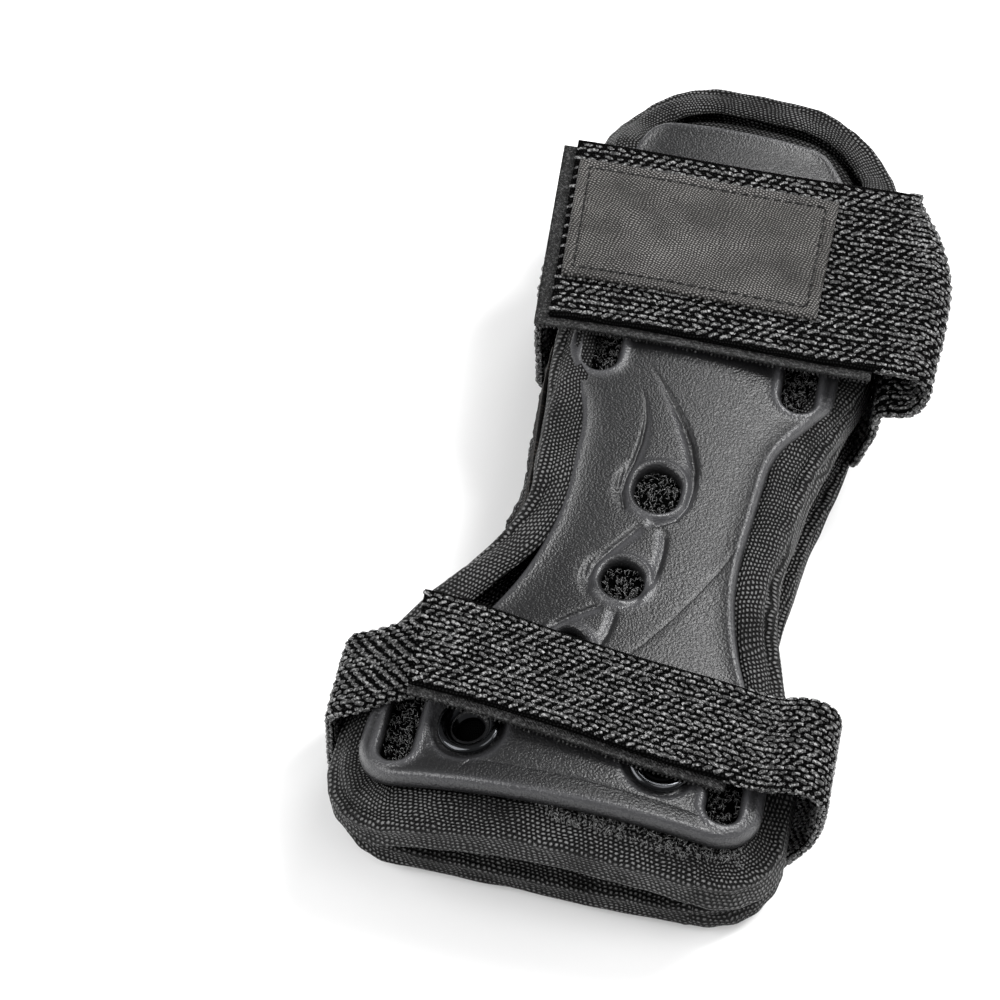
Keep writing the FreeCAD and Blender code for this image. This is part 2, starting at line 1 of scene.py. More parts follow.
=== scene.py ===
"""Looks of a wrist guard: a moulded back plate on a bound pad, a palm pad, and two webbing straps.

Laid out as a Blender add-on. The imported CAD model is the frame, and each operator builds one group
of pieces on it. Lengths in the shape code are millimetres, as in the CAD, and are turned to metres
where a mesh is made.
"""
import math

import bmesh
import bpy
import numpy as np
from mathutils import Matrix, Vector, geometry


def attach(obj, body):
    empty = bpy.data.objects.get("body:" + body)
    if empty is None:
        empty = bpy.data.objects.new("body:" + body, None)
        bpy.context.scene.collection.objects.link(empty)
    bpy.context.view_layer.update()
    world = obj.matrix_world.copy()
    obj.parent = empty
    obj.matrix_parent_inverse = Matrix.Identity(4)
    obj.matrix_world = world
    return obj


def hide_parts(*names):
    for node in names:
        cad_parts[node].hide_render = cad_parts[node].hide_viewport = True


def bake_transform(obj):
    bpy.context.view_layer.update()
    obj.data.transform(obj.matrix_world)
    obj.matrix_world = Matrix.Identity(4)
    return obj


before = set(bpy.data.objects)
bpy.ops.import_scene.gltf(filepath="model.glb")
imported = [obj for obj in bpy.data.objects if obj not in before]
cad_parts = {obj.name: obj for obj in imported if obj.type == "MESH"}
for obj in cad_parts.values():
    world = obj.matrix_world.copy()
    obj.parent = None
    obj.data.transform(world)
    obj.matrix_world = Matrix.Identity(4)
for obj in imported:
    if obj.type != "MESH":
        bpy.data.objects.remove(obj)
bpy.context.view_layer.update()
MM = 0.001

bl_info = {
    "name": "Wrist guard looks",
    "version": (1, 0, 0),
    "blender": (4, 5, 0),
    "location": "View3D > Sidebar > Wrist guard",
    "description": "Builds the plate, pads, straps and fittings of a wrist guard on its CAD frame",
    "category": "Object",
}

# ---- Sizes of the CAD, in mm ------------------------------------------------------------------
# The plate, its tape and the back pad lie on an arch along Y. A layer is named by its height at x = 0.
PLATE_TOP = 39.2
ARCH_RADIUS = 110.0
ARCH_Z = PLATE_TOP - ARCH_RADIUS
RIM_TOP = 40.0
PLATE_LOW = 36.2
TAPE_LOW = 34.6
PAD_LOW = 25.1
LINING_LOW = 23.9
PALM_PAD_LOW, PALM_PAD_TOP, PALM_LINING_TOP = 2.5, 10.5, 11.7
WEBBING_MID = 42.6
WEBBING = 2.0
WRIST_STRAP_Y, HAND_STRAP_Y = 53.5, -60.0
WRIST_STRAP_WIDTH, HAND_STRAP_WIDTH = 50.0, 20.0
# a corner is x, y and its radius
PLATE_CORNERS = [(35.8, -81, 9), (35.8, -64, 14), (21.6, -32, 60), (24.6, 7, 26), (34.8, 24, 9),
                 (34.8, 76, 10), (22.8, 92, 7), (-16.2, 92, 7), (-22, 76, 10), (-22, 24, 9),
                 (-15, 7, 26), (-14, -32, 60), (-41.2, -64, 14), (-41.2, -81, 9)]


def pad_corners(waist_right, hand_y):
    """Corners of a pad: a rounded hand end, a waist and a domed forearm end."""
    return [(41, hand_y, 15), (41, -58, 22), (waist_right, -28, 40), (waist_right + 3.5, 8, 60),
            (41.2, 34, 50), (41.2, 109, 25), (-27, 109, 25), (-24.5, 20, 60), (-20.5, -18, 25),
            (-47, -52, 20), (-47, hand_y, 15)]


BACK_CORNERS = pad_corners(29.5, -88)
PALM_CORNERS = pad_corners(31.5, -83)
# a slot is x, its two ends in y and its end radius; a vent is x, y, its radius and its stretch along Y
WRIST_SLOTS = [(x, 19.5, 74.0, 3.5) for x in (-14.3, 27.1)]
HAND_SLOTS = [(x, -77.0, -54.0, 3.1) for x in (-33.7, 28.3)]
VENTS = [(3.6, -8.4, 4.6, 0.9), (1.0, -31.0, 4.3, 0.0), (-6.6, -48.4, 4.0, 0.0)]
BACK_EYELETS = [(-20.9, -68.0), (15.5, -68.0), (-6.6, 66.0), (19.4, 66.0)]
PALM_EYELETS = [(-3.0, -56.0), (-10.0, 34.0), (26.0, 34.0)]


# ---- Plane geometry ---------------------------------------------------------------------------
def lengths(line, closed=True):
    """Distance along a line at each point, and at the return to the first one of a closed line."""
    ends = np.vstack([line, line[:1]]) if closed else line
    return np.r_[0, np.cumsum(np.linalg.norm(np.diff(ends, axis=0), axis=1))]


def even(points, step, closed=True):
    """The same line with its points evenly spaced."""
    line = np.asarray(points, float)
    if closed:
        line = np.vstack([line, line[:1]])
    gaps = np.linalg.norm(np.diff(line, axis=0), axis=1)
    line = line[np.r_[True, gaps > 1e-6]]
    travelled = lengths(line, False)
    count = max(3, round(travelled[-1] / step))
    at = np.linspace(0, travelled[-1], count + (not closed), endpoint=not closed)
    return np.stack([np.interp(at, travelled, line[:, k]) for k in range(line.shape[1])], -1)


def outline(corners, grow=0.0, step=1.0):
    """Points round a shape with rounded corners, anticlockwise, moved out by grow."""
    spots = np.array([c[:2] for c in corners], float)
    before = spots - np.roll(spots, 1, 0)
    before /= np.linalg.norm(before, axis=1)[:, None]
    after = np.roll(before, -1, 0)
    out_before = np.stack([before[:, 1], -before[:, 0]], -1)
    out_after = np.stack([after[:, 1], -after[:, 0]], -1)
    middle = out_before + out_after
    middle /= np.linalg.norm(middle, axis=1)[:, None]
    moved = spots + middle * (grow / (middle * out_before).sum(1))[:, None]
    turn = np.arctan2(before[:, 0] * after[:, 1] - before[:, 1] * after[:, 0], (before * after).sum(1))
    points = []
    for spot, ahead, bend, (_, _, given) in zip(moved, before, turn, corners):
        radius = max(given + grow * np.sign(bend), 0.5)
        start = spot - ahead * radius * math.tan(abs(bend) / 2)
        centre = start + np.array([-ahead[1], ahead[0]]) * radius * np.sign(bend)
        for angle in np.linspace(0, bend, 24):
            c, s = math.cos(angle), math.sin(angle)
            points.append(centre + np.array([[c, -s], [s, c]]) @ (start - centre))
    return even(points, step)


def outward(line):
    """Outward unit normals of a closed anticlockwise line."""
    ahead = np.roll(line, -1, 0) - np.roll(line, 1, 0)
    ahead /= np.linalg.norm(ahead, axis=1)[:, None]
    return np.stack([ahead[:, 1], -ahead[:, 0]], -1)


def stadium(x, y_low, y_high, radius, grow=0.0, step=0.7):
    """Points round a slot along Y with round ends; a vent is a short one."""
    size = radius + grow
    low, high = y_low + radius, y_high - radius
    points = [(x + size * math.cos(start + a), centre + size * math.sin(start + a))
              for centre, start in ((low, math.pi), (high, 0.0)) for a in np.linspace(0, math.pi, 28)]
    return even(points, step)


def distance(points, line, closed=True):
    """Distance from each point to a line, and how far along it the nearest place is, from 0 to 1."""
    starts = line if closed else line[:-1]
    ends = np.roll(line, -1, 0) if closed else line[1:]
    best = np.full(len(points), 1e9)
    along = np.zeros(len(points))
    for k, (a, b) in enumerate(zip(starts, ends)):
        d = b - a
        t = np.clip(((points - a) @ d) / max(d @ d, 1e-12), 0, 1)
        away = np.linalg.norm(points - (a + t[:, None] * d), axis=1)
        near = away < best
        best[near] = away[near]
        along[near] = (k + t[near]) / len(starts)
    return best, along


def inside(points, line):
    """True for each point inside a closed line."""
    result = np.zeros(len(points), bool)
    for a, b in zip(line, np.roll(line, -1, 0)):
        if a[1] == b[1]:
            continue
        crosses = (a[1] > points[:, 1]) != (b[1] > points[:, 1])
        result ^= crosses & (points[:, 0] < (b[0] - a[0]) * (points[:, 1] - a[1]) / (b[1] - a[1]) + a[0])
    return result


def signed(points, line):
    """Distance to a closed line, positive inside it."""
    return distance(points, line)[0] * np.where(inside(points, line), 1, -1)


def lattice(line, step):
    """A staggered grid of points inside a closed line."""
    low, high = line.min(0), line.max(0)
    rows = np.arange(low[1], high[1], step * 0.87)
    columns = np.arange(low[0], high[0], step)
    points = np.array([(x + (k % 2) * step / 2, y) for k, y in enumerate(rows) for x in columns])
    return points[signed(points, line) > step * 0.4]


def fill(loops, extra):
    """Triangles between an outline and its holes, through extra points."""
    lines = [np.round(loop, 5) for loop in loops]
    edges, count = [], 0
    for loop in lines:
        edges += [(count + k, count + (k + 1) % len(loop)) for k in range(len(loop))]
        count += len(loop)
    everything = np.vstack(lines + [np.round(extra, 5)])
    made = geometry.delaunay_2d_cdt([Vector(p) for p in everything], edges, [], 0, 1e-6)
    points, faces = np.array([v[:] for v in made[0]]), np.array(made[2])
    middles = points[faces].mean(1)
    keep = inside(middles, lines[0])
    for hole in lines[1:]:
        keep &= ~inside(middles, hole)
    faces = faces[keep]
    a, b, c = (points[faces[:, k]] for k in range(3))
    area = (b[:, 0] - a[:, 0]) * (c[:, 1] - a[:, 1]) - (b[:, 1] - a[:, 1]) * (c[:, 0] - a[:, 0])
    faces[area < 0] = faces[area < 0][:, ::-1]
    used, faces = np.unique(faces, return_inverse=True)
    return points[used], faces.reshape(-1, 3)


def smooth(value, low, high):
    """0 below low, 1 above high, and an even rise between."""
    t = np.clip((np.asarray(value, float) - low) / (high - low), 0, 1)
    return t * t * (3 - 2 * t)


def bump(value, middle, width):
    """A soft bump of height 1 round middle."""
    return np.exp(-((np.asarray(value, float) - middle) / width) ** 2)


def waver(value, seed, waves=6, longest=90.0):
    """A smooth random line along a length in mm, about -1 to 1."""
    rng = np.random.default_rng(seed)
    total = sum(np.sin(2 * math.pi * np.asarray(value, float) / (longest / (k + 1)) + rng.uniform(0, 6.28))
                * rng.uniform(0.4, 1) / (k + 1) ** 0.5 for k in range(waves))
    return total / 2.2


# ---- Meshes -----------------------------------------------------------------------------------
def arch(x, height):
    """The level of an arched layer at x, for its height at the middle."""
    return ARCH_Z + np.sqrt((height - ARCH_Z) ** 2 - np.asarray(x, float) ** 2)


def piece(name, points, faces, material, uv=None):
    """A mesh object at the origin from points in mm."""
    mesh = bpy.data.meshes.new(name)
    mesh.from_pydata((np.asarray(points, float) * MM).tolist(), [], [tuple(f) for f in faces])
    mesh.shade_smooth()
    mesh.materials.append(material)
    if uv is not None:
        layer = mesh.uv_layers.new(name="UVMap")
        flat = np.zeros((len(mesh.loops), 2))
        flat[:len(uv)] = np.asarray(uv, float) * MM
        layer.data.foreach_set("uv", flat.ravel())
    obj = bpy.data.objects.new(name, mesh)
    bpy.context.scene.collection.objects.link(obj)
    return obj


def face_out(obj):
    """Turns a closed mesh's faces outwards."""
    work = bmesh.new()
    work.from_mesh(obj.data)
    bmesh.ops.recalc_face_normals(work, faces=work.faces)
    work.to_mesh(obj.data)
    work.free()
    return obj


def slab(name, flat, faces, top, low, material):
    """A closed sheet between a top and a low surface over the same triangles, with walls at its edges."""
    count = len(flat)
    pairs = np.vstack([faces[:, [0, 1]], faces[:, [1, 2]], faces[:, [2, 0]]])
    known = set(map(tuple, pairs.tolist()))
    rim = sorted((a, b) for a, b in known if (b, a) not in known)
    walls = [(a, a + count, b + count, b) for a, b in rim]
    every = faces.tolist() + (faces[:, ::-1] + count).tolist() + walls
    points = np.vstack([np.c_[flat, top], np.c_[flat, low]])
    loops = np.concatenate([np.asarray(f) for f in every])
    return piece(name, points, every, material, points[loops][:, :2])


def grid(name, spots, material, wrap=(False, False), along=None, across=None, caps=False):
    """A mesh through a grid of points, with a UV map in mm along and across it."""
    n, m = spots.shape[:2]
    i, j = np.meshgrid(np.arange(n - (not wrap[0])), np.arange(m - (not wrap[1])), indexing="ij")
    corners = [(i, j), (i + 1, j), (i + 1, j + 1), (i, j + 1)]
    faces = np.stack([(a % n) * m + (b % m) for a, b in corners], -1).reshape(-1, 4)
    along = np.arange(n + 1.0) if along is None else along
    across = np.arange(m + 1.0) if across is None else across
    uv = np.stack([np.stack([along[a], across[b]], -1) for a, b in corners], -2).reshape(-1, 2)
    faces = faces.tolist()
    if caps:
        faces += [list(range(m))[::-1], list(range((n - 1) * m, n * m))]
    return face_out(piece(name, spots.reshape(-1, 3), faces, material, uv))


def apply_modifiers(obj):
    """Makes the modifiers' result the mesh."""
    bpy.context.view_layer.update()
    made = bpy.data.meshes.new_from_object(obj.evaluated_get(bpy.context.evaluated_depsgraph_get()))
    obj.modifiers.clear()
    obj.data = made
    return obj


# ---- Repeated yarn: knuckles of weave, stitches, ribs and pile loops -----------------------------
def add(tree, kind, inputs=(), **settings):
    """Adds a node with its settings, and links or sets its inputs."""
    node = tree.nodes.new(kind)
    for key, value in settings.items():
        setattr(node, key, value)
    for key, value in dict(inputs).items():
        if isinstance(value, bpy.types.NodeSocket):
            tree.links.new(value, node.inputs[key])
        else:
            node.inputs[key].default_value = value
    return node


YARN_INPUTS = (("Points", "Geometry"), ("Length", "Float"), ("Width", "Float"), ("Rise", "Float"),
               ("Flatness", "Float"), ("Size variation", "Float"), ("Sides", "Int"), ("Steps", "Int"),
               ("Seed", "Int"), ("Finish", "Material"))
# Ends of a yarn length sink and its middle control point rises by these shares of its rise.
YARN_SINK, YARN_LIFT = -0.7, 1.7


def yarn_tree():
    """One arched length of yarn on each point, turned to the point's own directions."""
    tree = bpy.data.node_groups.new("Yarn on points", "GeometryNodeTree")
    for name, kind in YARN_INPUTS:
        tree.interface.new_socket(name, in_out="INPUT", socket_type="NodeSocket" + kind)
    tree.interface.new_socket("Yarn", in_out="OUTPUT", socket_type="NodeSocketGeometry")
    given = add(tree, "NodeGroupInput").outputs
    half = add(tree, "ShaderNodeMath", {0: given["Length"], 1: 0.5}, operation="MULTIPLY").outputs[0]
    back = add(tree, "ShaderNodeMath", {0: given["Length"], 1: -0.5}, operation="MULTIPLY").outputs[0]
    sink = add(tree, "ShaderNodeMath", {0: given["Rise"], 1: YARN_SINK}, operation="MULTIPLY").outputs[0]
    lift = add(tree, "ShaderNodeMath", {0: given["Rise"], 1: YARN_LIFT}, operation="MULTIPLY").outputs[0]
    ends = [add(tree, "ShaderNodeCombineXYZ", values).outputs[0]
            for values in ({0: back, 2: sink}, {2: lift}, {0: half, 2: sink})]
    path = add(tree, "GeometryNodeCurveQuadraticBezier",
               {"Resolution": given["Steps"], "Start": ends[0], "Middle": ends[1], "End": ends[2]})
    radius = add(tree, "ShaderNodeMath", {0: given["Width"], 1: 0.5}, operation="MULTIPLY").outputs[0]
    ring = add(tree, "GeometryNodeCurvePrimitiveCircle", {"Resolution": given["Sides"], "Radius": radius})
    tube = add(tree, "GeometryNodeCurveToMesh",
               {"Curve": path.outputs[0], "Profile Curve": ring.outputs[0], "Fill Caps": True})
    even_shade = add(tree, "GeometryNodeSetShadeSmooth", {"Geometry": tube.outputs[0]})
    out, along = (add(tree, "GeometryNodeInputNamedAttribute", {"Name": name},
                      data_type="FLOAT_VECTOR").outputs[0] for name in ("out", "along"))
    turn = add(tree, "FunctionNodeAxesToRotation", {"Primary Axis": out, "Secondary Axis": along},
               primary_axis="Z", secondary_axis="X").outputs[0]
    least = add(tree, "ShaderNodeMath", {0: 1.0, 1: given["Size variation"]},
                operation="SUBTRACT").outputs[0]
    chance = add(tree, "FunctionNodeRandomValue", {"Min": least, "Max": 1.0, "Seed": given["Seed"]},
                 data_type="FLOAT")
    flatness = add(tree, "ShaderNodeCombineXYZ", {0: 1.0, 1: 1.0, 2: given["Flatness"]}).outputs[0]
    size = add(tree, "ShaderNodeVectorMath", {0: flatness, "Scale": chance.outputs[1]},
               operation="SCALE").outputs[0]
    placed = add(tree, "GeometryNodeInstanceOnPoints", {
        "Points": given["Points"], "Instance": even_shade.outputs[0], "Rotation": turn, "Scale": size})
    real = add(tree, "GeometryNodeRealizeInstances", {"Geometry": placed.outputs[0]})
    finished = add(tree, "GeometryNodeSetMaterial",
                   {"Geometry": real.outputs[0], "Material": given["Finish"]})
    add(tree, "NodeGroupOutput", {0: finished.outputs[0]})
    return tree


def yarn(name, spots, out, along, material, length, width, rise, flatness=1.0, variation=0.1, sides=6,
         steps=4, seed=1):
    """A mesh of arched yarn lengths (sizes in mm) on spots, each standing along out and lying along along."""
    tree = bpy.data.node_groups.get("Yarn on points") or yarn_tree()
    names = {item.name: item.identifier for item in tree.interface.items_tree if item.in_out == "INPUT"}
    obj = piece(name, spots, [], material)
    for label, vectors in (("out", out), ("along", along)):
        attribute = obj.data.attributes.new(label, "FLOAT_VECTOR", "POINT")
        attribute.data.foreach_set("vector", np.asarray(vectors, np.float32).ravel())
    modifier = obj.modifiers.new("Yarn", "NODES")
    modifier.node_group = tree
    for label, value in (("Length", length * MM), ("Width", width * MM), ("Rise", rise * MM),
                         ("Flatness", flatness), ("Size variation", variation), ("Sides", sides),
                         ("Steps", steps), ("Seed", seed), ("Finish", material)):
        modifier[names[label]] = value
    apply_modifiers(obj)
    for label in ("out", "along"):
        if label in obj.data.attributes:
            obj.data.attributes.remove(obj.data.attributes[label])
    return obj


# ---- Colours and finishes ---------------------------------------------------------------------
# Finishes by name: make_finishes fills this, and each piece takes its material from it.
FINISH = {}
# Scales of slow patterns: 1000 over their size in mm
WEAVE_WANDER = 120.0  # 8 mm: the rows of a weave drift out of line
CLOTH_PATCH = 90.0  # 11 mm: lighter and darker patches of a cloth
PLASTIC_PATCH = 55.0  # 18 mm: duller and clearer patches of a moulding
TUMBLING = 900.0  # 1.1 mm: marks left on plated metal
SHEEN_PATCH = 700.0  # 1.4 mm: duller and brighter filaments


def linear(code):
    """An sRGB hex colour as linear RGBA; a linear colour is kept."""
    if not isinstance(code, str):
        return list(code)
    parts = [int(code[k:k + 2], 16) / 255 for k in (1, 3, 5)]
    return [p / 12.92 if p <= 0.04045 else ((p + 0.055) / 1.055) ** 2.4 for p in parts] + [1.0]


def finish(name, colour, roughness, **sockets):
    """A new material, its tree and its main shader, with constants on the shader's own sockets."""
    made = bpy.data.materials.new(name)
    made.use_nodes = True
    shader = made.node_tree.nodes["Principled BSDF"]
    shader.inputs["Base Color"].default_value = linear(colour)
    shader.inputs["Roughness"].default_value = roughness
    made.diffuse_color = linear(colour)
    for key, value in sockets.items():
        shader.inputs[key.replace("_", " ")].default_value = value
    return made, made.node_tree, shader


def cells(tree, place, pitch_u, pitch_v, shift, turn=0.0):
    """The height of a weave: a rounded cell every pitch (mm), each row shifted by a share of a cell."""
    drift = add(tree, "ShaderNodeTexNoise", {"Vector": place, "Scale": WEAVE_WANDER, "Detail": 3.0,
                                             "Roughness": 0.62}).outputs[1]
    wander = (2.6 * MM,) * 3
    bent = add(tree, "ShaderNodeVectorMath", {0: drift, 1: wander, 2: place},
               operation="MULTIPLY_ADD").outputs[0]
    per_metre = (1 / (pitch_u * MM), 1 / (pitch_v * MM), 1)
    turned = add(tree, "ShaderNodeMapping", {"Vector": bent, "Rotation": (0, 0, turn),
                                             "Scale": per_metre}).outputs[0]
    parts = add(tree, "ShaderNodeSeparateXYZ", {0: turned}).outputs
    row = add(tree, "ShaderNodeMath", {0: parts[1]}, operation="FLOOR").outputs[0]
    moved = add(tree, "ShaderNodeMath", {0: row, 1: shift, 2: parts[0]}, operation="MULTIPLY_ADD").outputs[0]
    waves = []
    for value in (moved, parts[1]):
        angle = add(tree, "ShaderNodeMath", {0: value, 1: math.pi}, operation="MULTIPLY").outputs[0]
        sine = add(tree, "ShaderNodeMath", {0: angle}, operation="SINE").outputs[0]
        waves.append(add(tree, "ShaderNodeMath", {0: sine}, operation="ABSOLUTE").outputs[0])
    return add(tree, "ShaderNodeMath", {0: waves[0], 1: waves[1]}, operation="MULTIPLY").outputs[0]


def woven(name, colour, deep, roughness, pitch, shift=0.5, turn=0.0, relief=0.25, uv=True, fibre=0.25,
          **sockets):
    """A cloth of rounded thread cells with dark gaps of painted shade between them, fine fibres and a slow
    change of tone.

    pitch (along and across), relief and fibre are in mm, and shift is a share of a cell.
    """
    made, tree, shader = finish(name, colour, roughness, **sockets)
    where = add(tree, "ShaderNodeTexCoord").outputs["UV" if uv else "Object"]
    body = add(tree, "ShaderNodeTexCoord").outputs["Object"]
    height = cells(tree, where, pitch[0], pitch[1], shift, turn)
    strand = add(tree, "ShaderNodeTexNoise", {"Vector": body, "Scale": 1 / (fibre * MM),
                                              "Detail": 2.0}).outputs[0]
    slow = add(tree, "ShaderNodeTexNoise", {"Vector": body, "Scale": CLOTH_PATCH, "Detail": 3.0}).outputs[0]
    # fibres stand 0.45 of a cell's height above the cells
    rough_height = add(tree, "ShaderNodeMath", {0: strand, 1: 0.45, 2: height},
                       operation="MULTIPLY_ADD").outputs[0]
    raised = add(tree, "ShaderNodeBump", {"Strength": 1.0, "Distance": relief * MM, "Height": rough_height})
    tree.links.new(raised.outputs[0], shader.inputs["Normal"])
    # painted shade: the colour falls from colour on the cells' tops to deep in the gaps between them, with
    # random patches of tone
    patchy = add(tree, "ShaderNodeMath", {0: strand, 1: slow}, operation="ADD").outputs[0]
    shade = add(tree, "ShaderNodeMath", {0: height, 1: patchy}, operation="MULTIPLY").outputs[0]
    amount = add(tree, "ShaderNodeMapRange", {0: shade, 1: 0.46, 2: 1.02, 3: 0.0, 4: 1.0}).outputs[0]
    mixed = add(tree, "ShaderNodeMix", {0: amount, 6: linear(deep), 7: linear(colour)}, data_type="RGBA")
    tree.links.new(mixed.outputs[2], shader.inputs["Base Color"])
    return made


def moulded(name, colour, wear_and_highlight_colour, roughness, grain, relief, gloss=0.28):
    """A moulded plastic with a leather grain (mm); its attribute of wear and painted highlight says where it
    is paler and glossier, partly rubbed and partly a painted highlight.
    """
    made, tree, shader = finish(name, colour, roughness, IOR=1.49, Specular_IOR_Level=0.5)
    body = add(tree, "ShaderNodeTexCoord").outputs["Object"]
    drift = add(tree, "ShaderNodeTexNoise", {"Vector": body, "Scale": 1 / (2.2 * grain * MM),
                                             "Detail": 2.0}).outputs[1]
    moved = add(tree, "ShaderNodeVectorMath", {0: drift, 1: (grain * MM * 0.9,) * 3, 2: body},
                operation="MULTIPLY_ADD").outputs[0]
    pebble = add(tree, "ShaderNodeTexVoronoi", {"Vector": moved, "Scale": 1 / (grain * MM),
                                                "Smoothness": 0.6}, feature="SMOOTH_F1").outputs[0]
    fine = add(tree, "ShaderNodeTexNoise", {"Vector": body, "Scale": 1 / (0.5 * grain * MM),
                                            "Detail": 3.0}).outputs[0]
    height = add(tree, "ShaderNodeMath", {0: fine, 1: 0.5, 2: pebble}, operation="MULTIPLY_ADD").outputs[0]
    raised = add(tree, "ShaderNodeBump", {"Strength": 1.0, "Distance": relief * MM, "Height": height})
    raised.invert = True
    tree.links.new(raised.outputs[0], shader.inputs["Normal"])
    # where this attribute is high the plastic is glossier and paler: partly wear, partly painted highlight
    wear_and_highlight = add(tree, "ShaderNodeAttribute", attribute_name="wear_and_highlight").outputs["Fac"]
    slow = add(tree, "ShaderNodeTexNoise", {"Vector": body, "Scale": PLASTIC_PATCH, "Detail": 4.0}).outputs[0]
    uneven = add(tree, "ShaderNodeMath", {0: slow, 1: 0.16, 2: roughness - 0.08},
                 operation="MULTIPLY_ADD").outputs[0]
    rough = add(tree, "ShaderNodeMix", {0: wear_and_highlight, 2: uneven, 3: gloss}, data_type="FLOAT").outputs[0]
    tree.links.new(rough, shader.inputs["Roughness"])
    shade = add(tree, "ShaderNodeMix", {0: wear_and_highlight, 6: linear(colour), 7: linear(wear_and_highlight_colour)},
                data_type="RGBA").outputs[2]
    tree.links.new(shade, shader.inputs["Base Color"])
    return made


def metal(name, colour, roughness):
    """A plated metal with faint tumbling marks."""
    made, tree, shader = finish(name, colour, roughness, Metallic=1.0)
    body = add(tree, "ShaderNodeTexCoord").outputs["Object"]
    marks = add(tree, "ShaderNodeTexNoise", {"Vector": body, "Scale": TUMBLING, "Detail": 3.0}).outputs[0]
    rough = add(tree, "ShaderNodeMapRange", {0: marks, 1: 0.3, 2: 0.7, 3: roughness * 0.7,
                                             4: roughness * 1.5}).outputs[0]
    tree.links.new(rough, shader.inputs["Roughness"])
    raised = add(tree, "ShaderNodeBump", {"Strength": 0.15, "Distance": 0.02 * MM, "Height": marks})
    tree.links.new(raised.outputs[0], shader.inputs["Normal"])
    return made


def filament(name, colour, deep, roughness, pitch, **sockets):
    """Bundled filament yarn, made bright by painted glints: fine slanting lines, one for each pitch (mm), and
    a patchy shine.
    """
    made, tree, shader = finish(name, colour, roughness, **sockets)
    body = add(tree, "ShaderNodeTexCoord").outputs["Object"]
    sheen = add(tree, "ShaderNodeTexNoise", {"Vector": body, "Scale": SHEEN_PATCH, "Detail": 2.0}).outputs[0]
    strands = add(tree, "ShaderNodeTexWave", {"Vector": body, "Scale": 0.32 / (pitch * MM), "Distortion": 5.0,
                                              "Detail": 2.0, "Detail Scale": 2.0},
                  wave_type="BANDS", bands_direction="DIAGONAL").outputs[1]
    raised = add(tree, "ShaderNodeBump", {"Strength": 0.8, "Distance": 0.12 * MM, "Height": strands})
    tree.links.new(raised.outputs[0], shader.inputs["Normal"])
    rough = add(tree, "ShaderNodeMapRange", {0: sheen, 1: 0.35, 2: 0.65, 3: roughness * 0.7,
                                             4: min(1.0, roughness * 1.5)}).outputs[0]
    tree.links.new(rough, shader.inputs["Roughness"])
    # painted glints: noise spots where the base colour goes from the deep colour to the bright one
    bright = add(tree, "ShaderNodeTexNoise", {"Vector": body, "Scale": 1 / (1.5 * pitch * MM),
                                              "Detail": 2.0}).outputs[0]
    painted_glint = add(tree, "ShaderNodeMapRange", {0: bright, 1: 0.49, 2: 0.67, 3: 0.0, 4: 1.0}).outputs[0]
    shade = add(tree, "ShaderNodeMix", {0: painted_glint, 6: linear(deep), 7: linear(colour)},
                data_type="RGBA").outputs[2]
    tree.links.new(shade, shader.inputs["Base Color"])
    return made


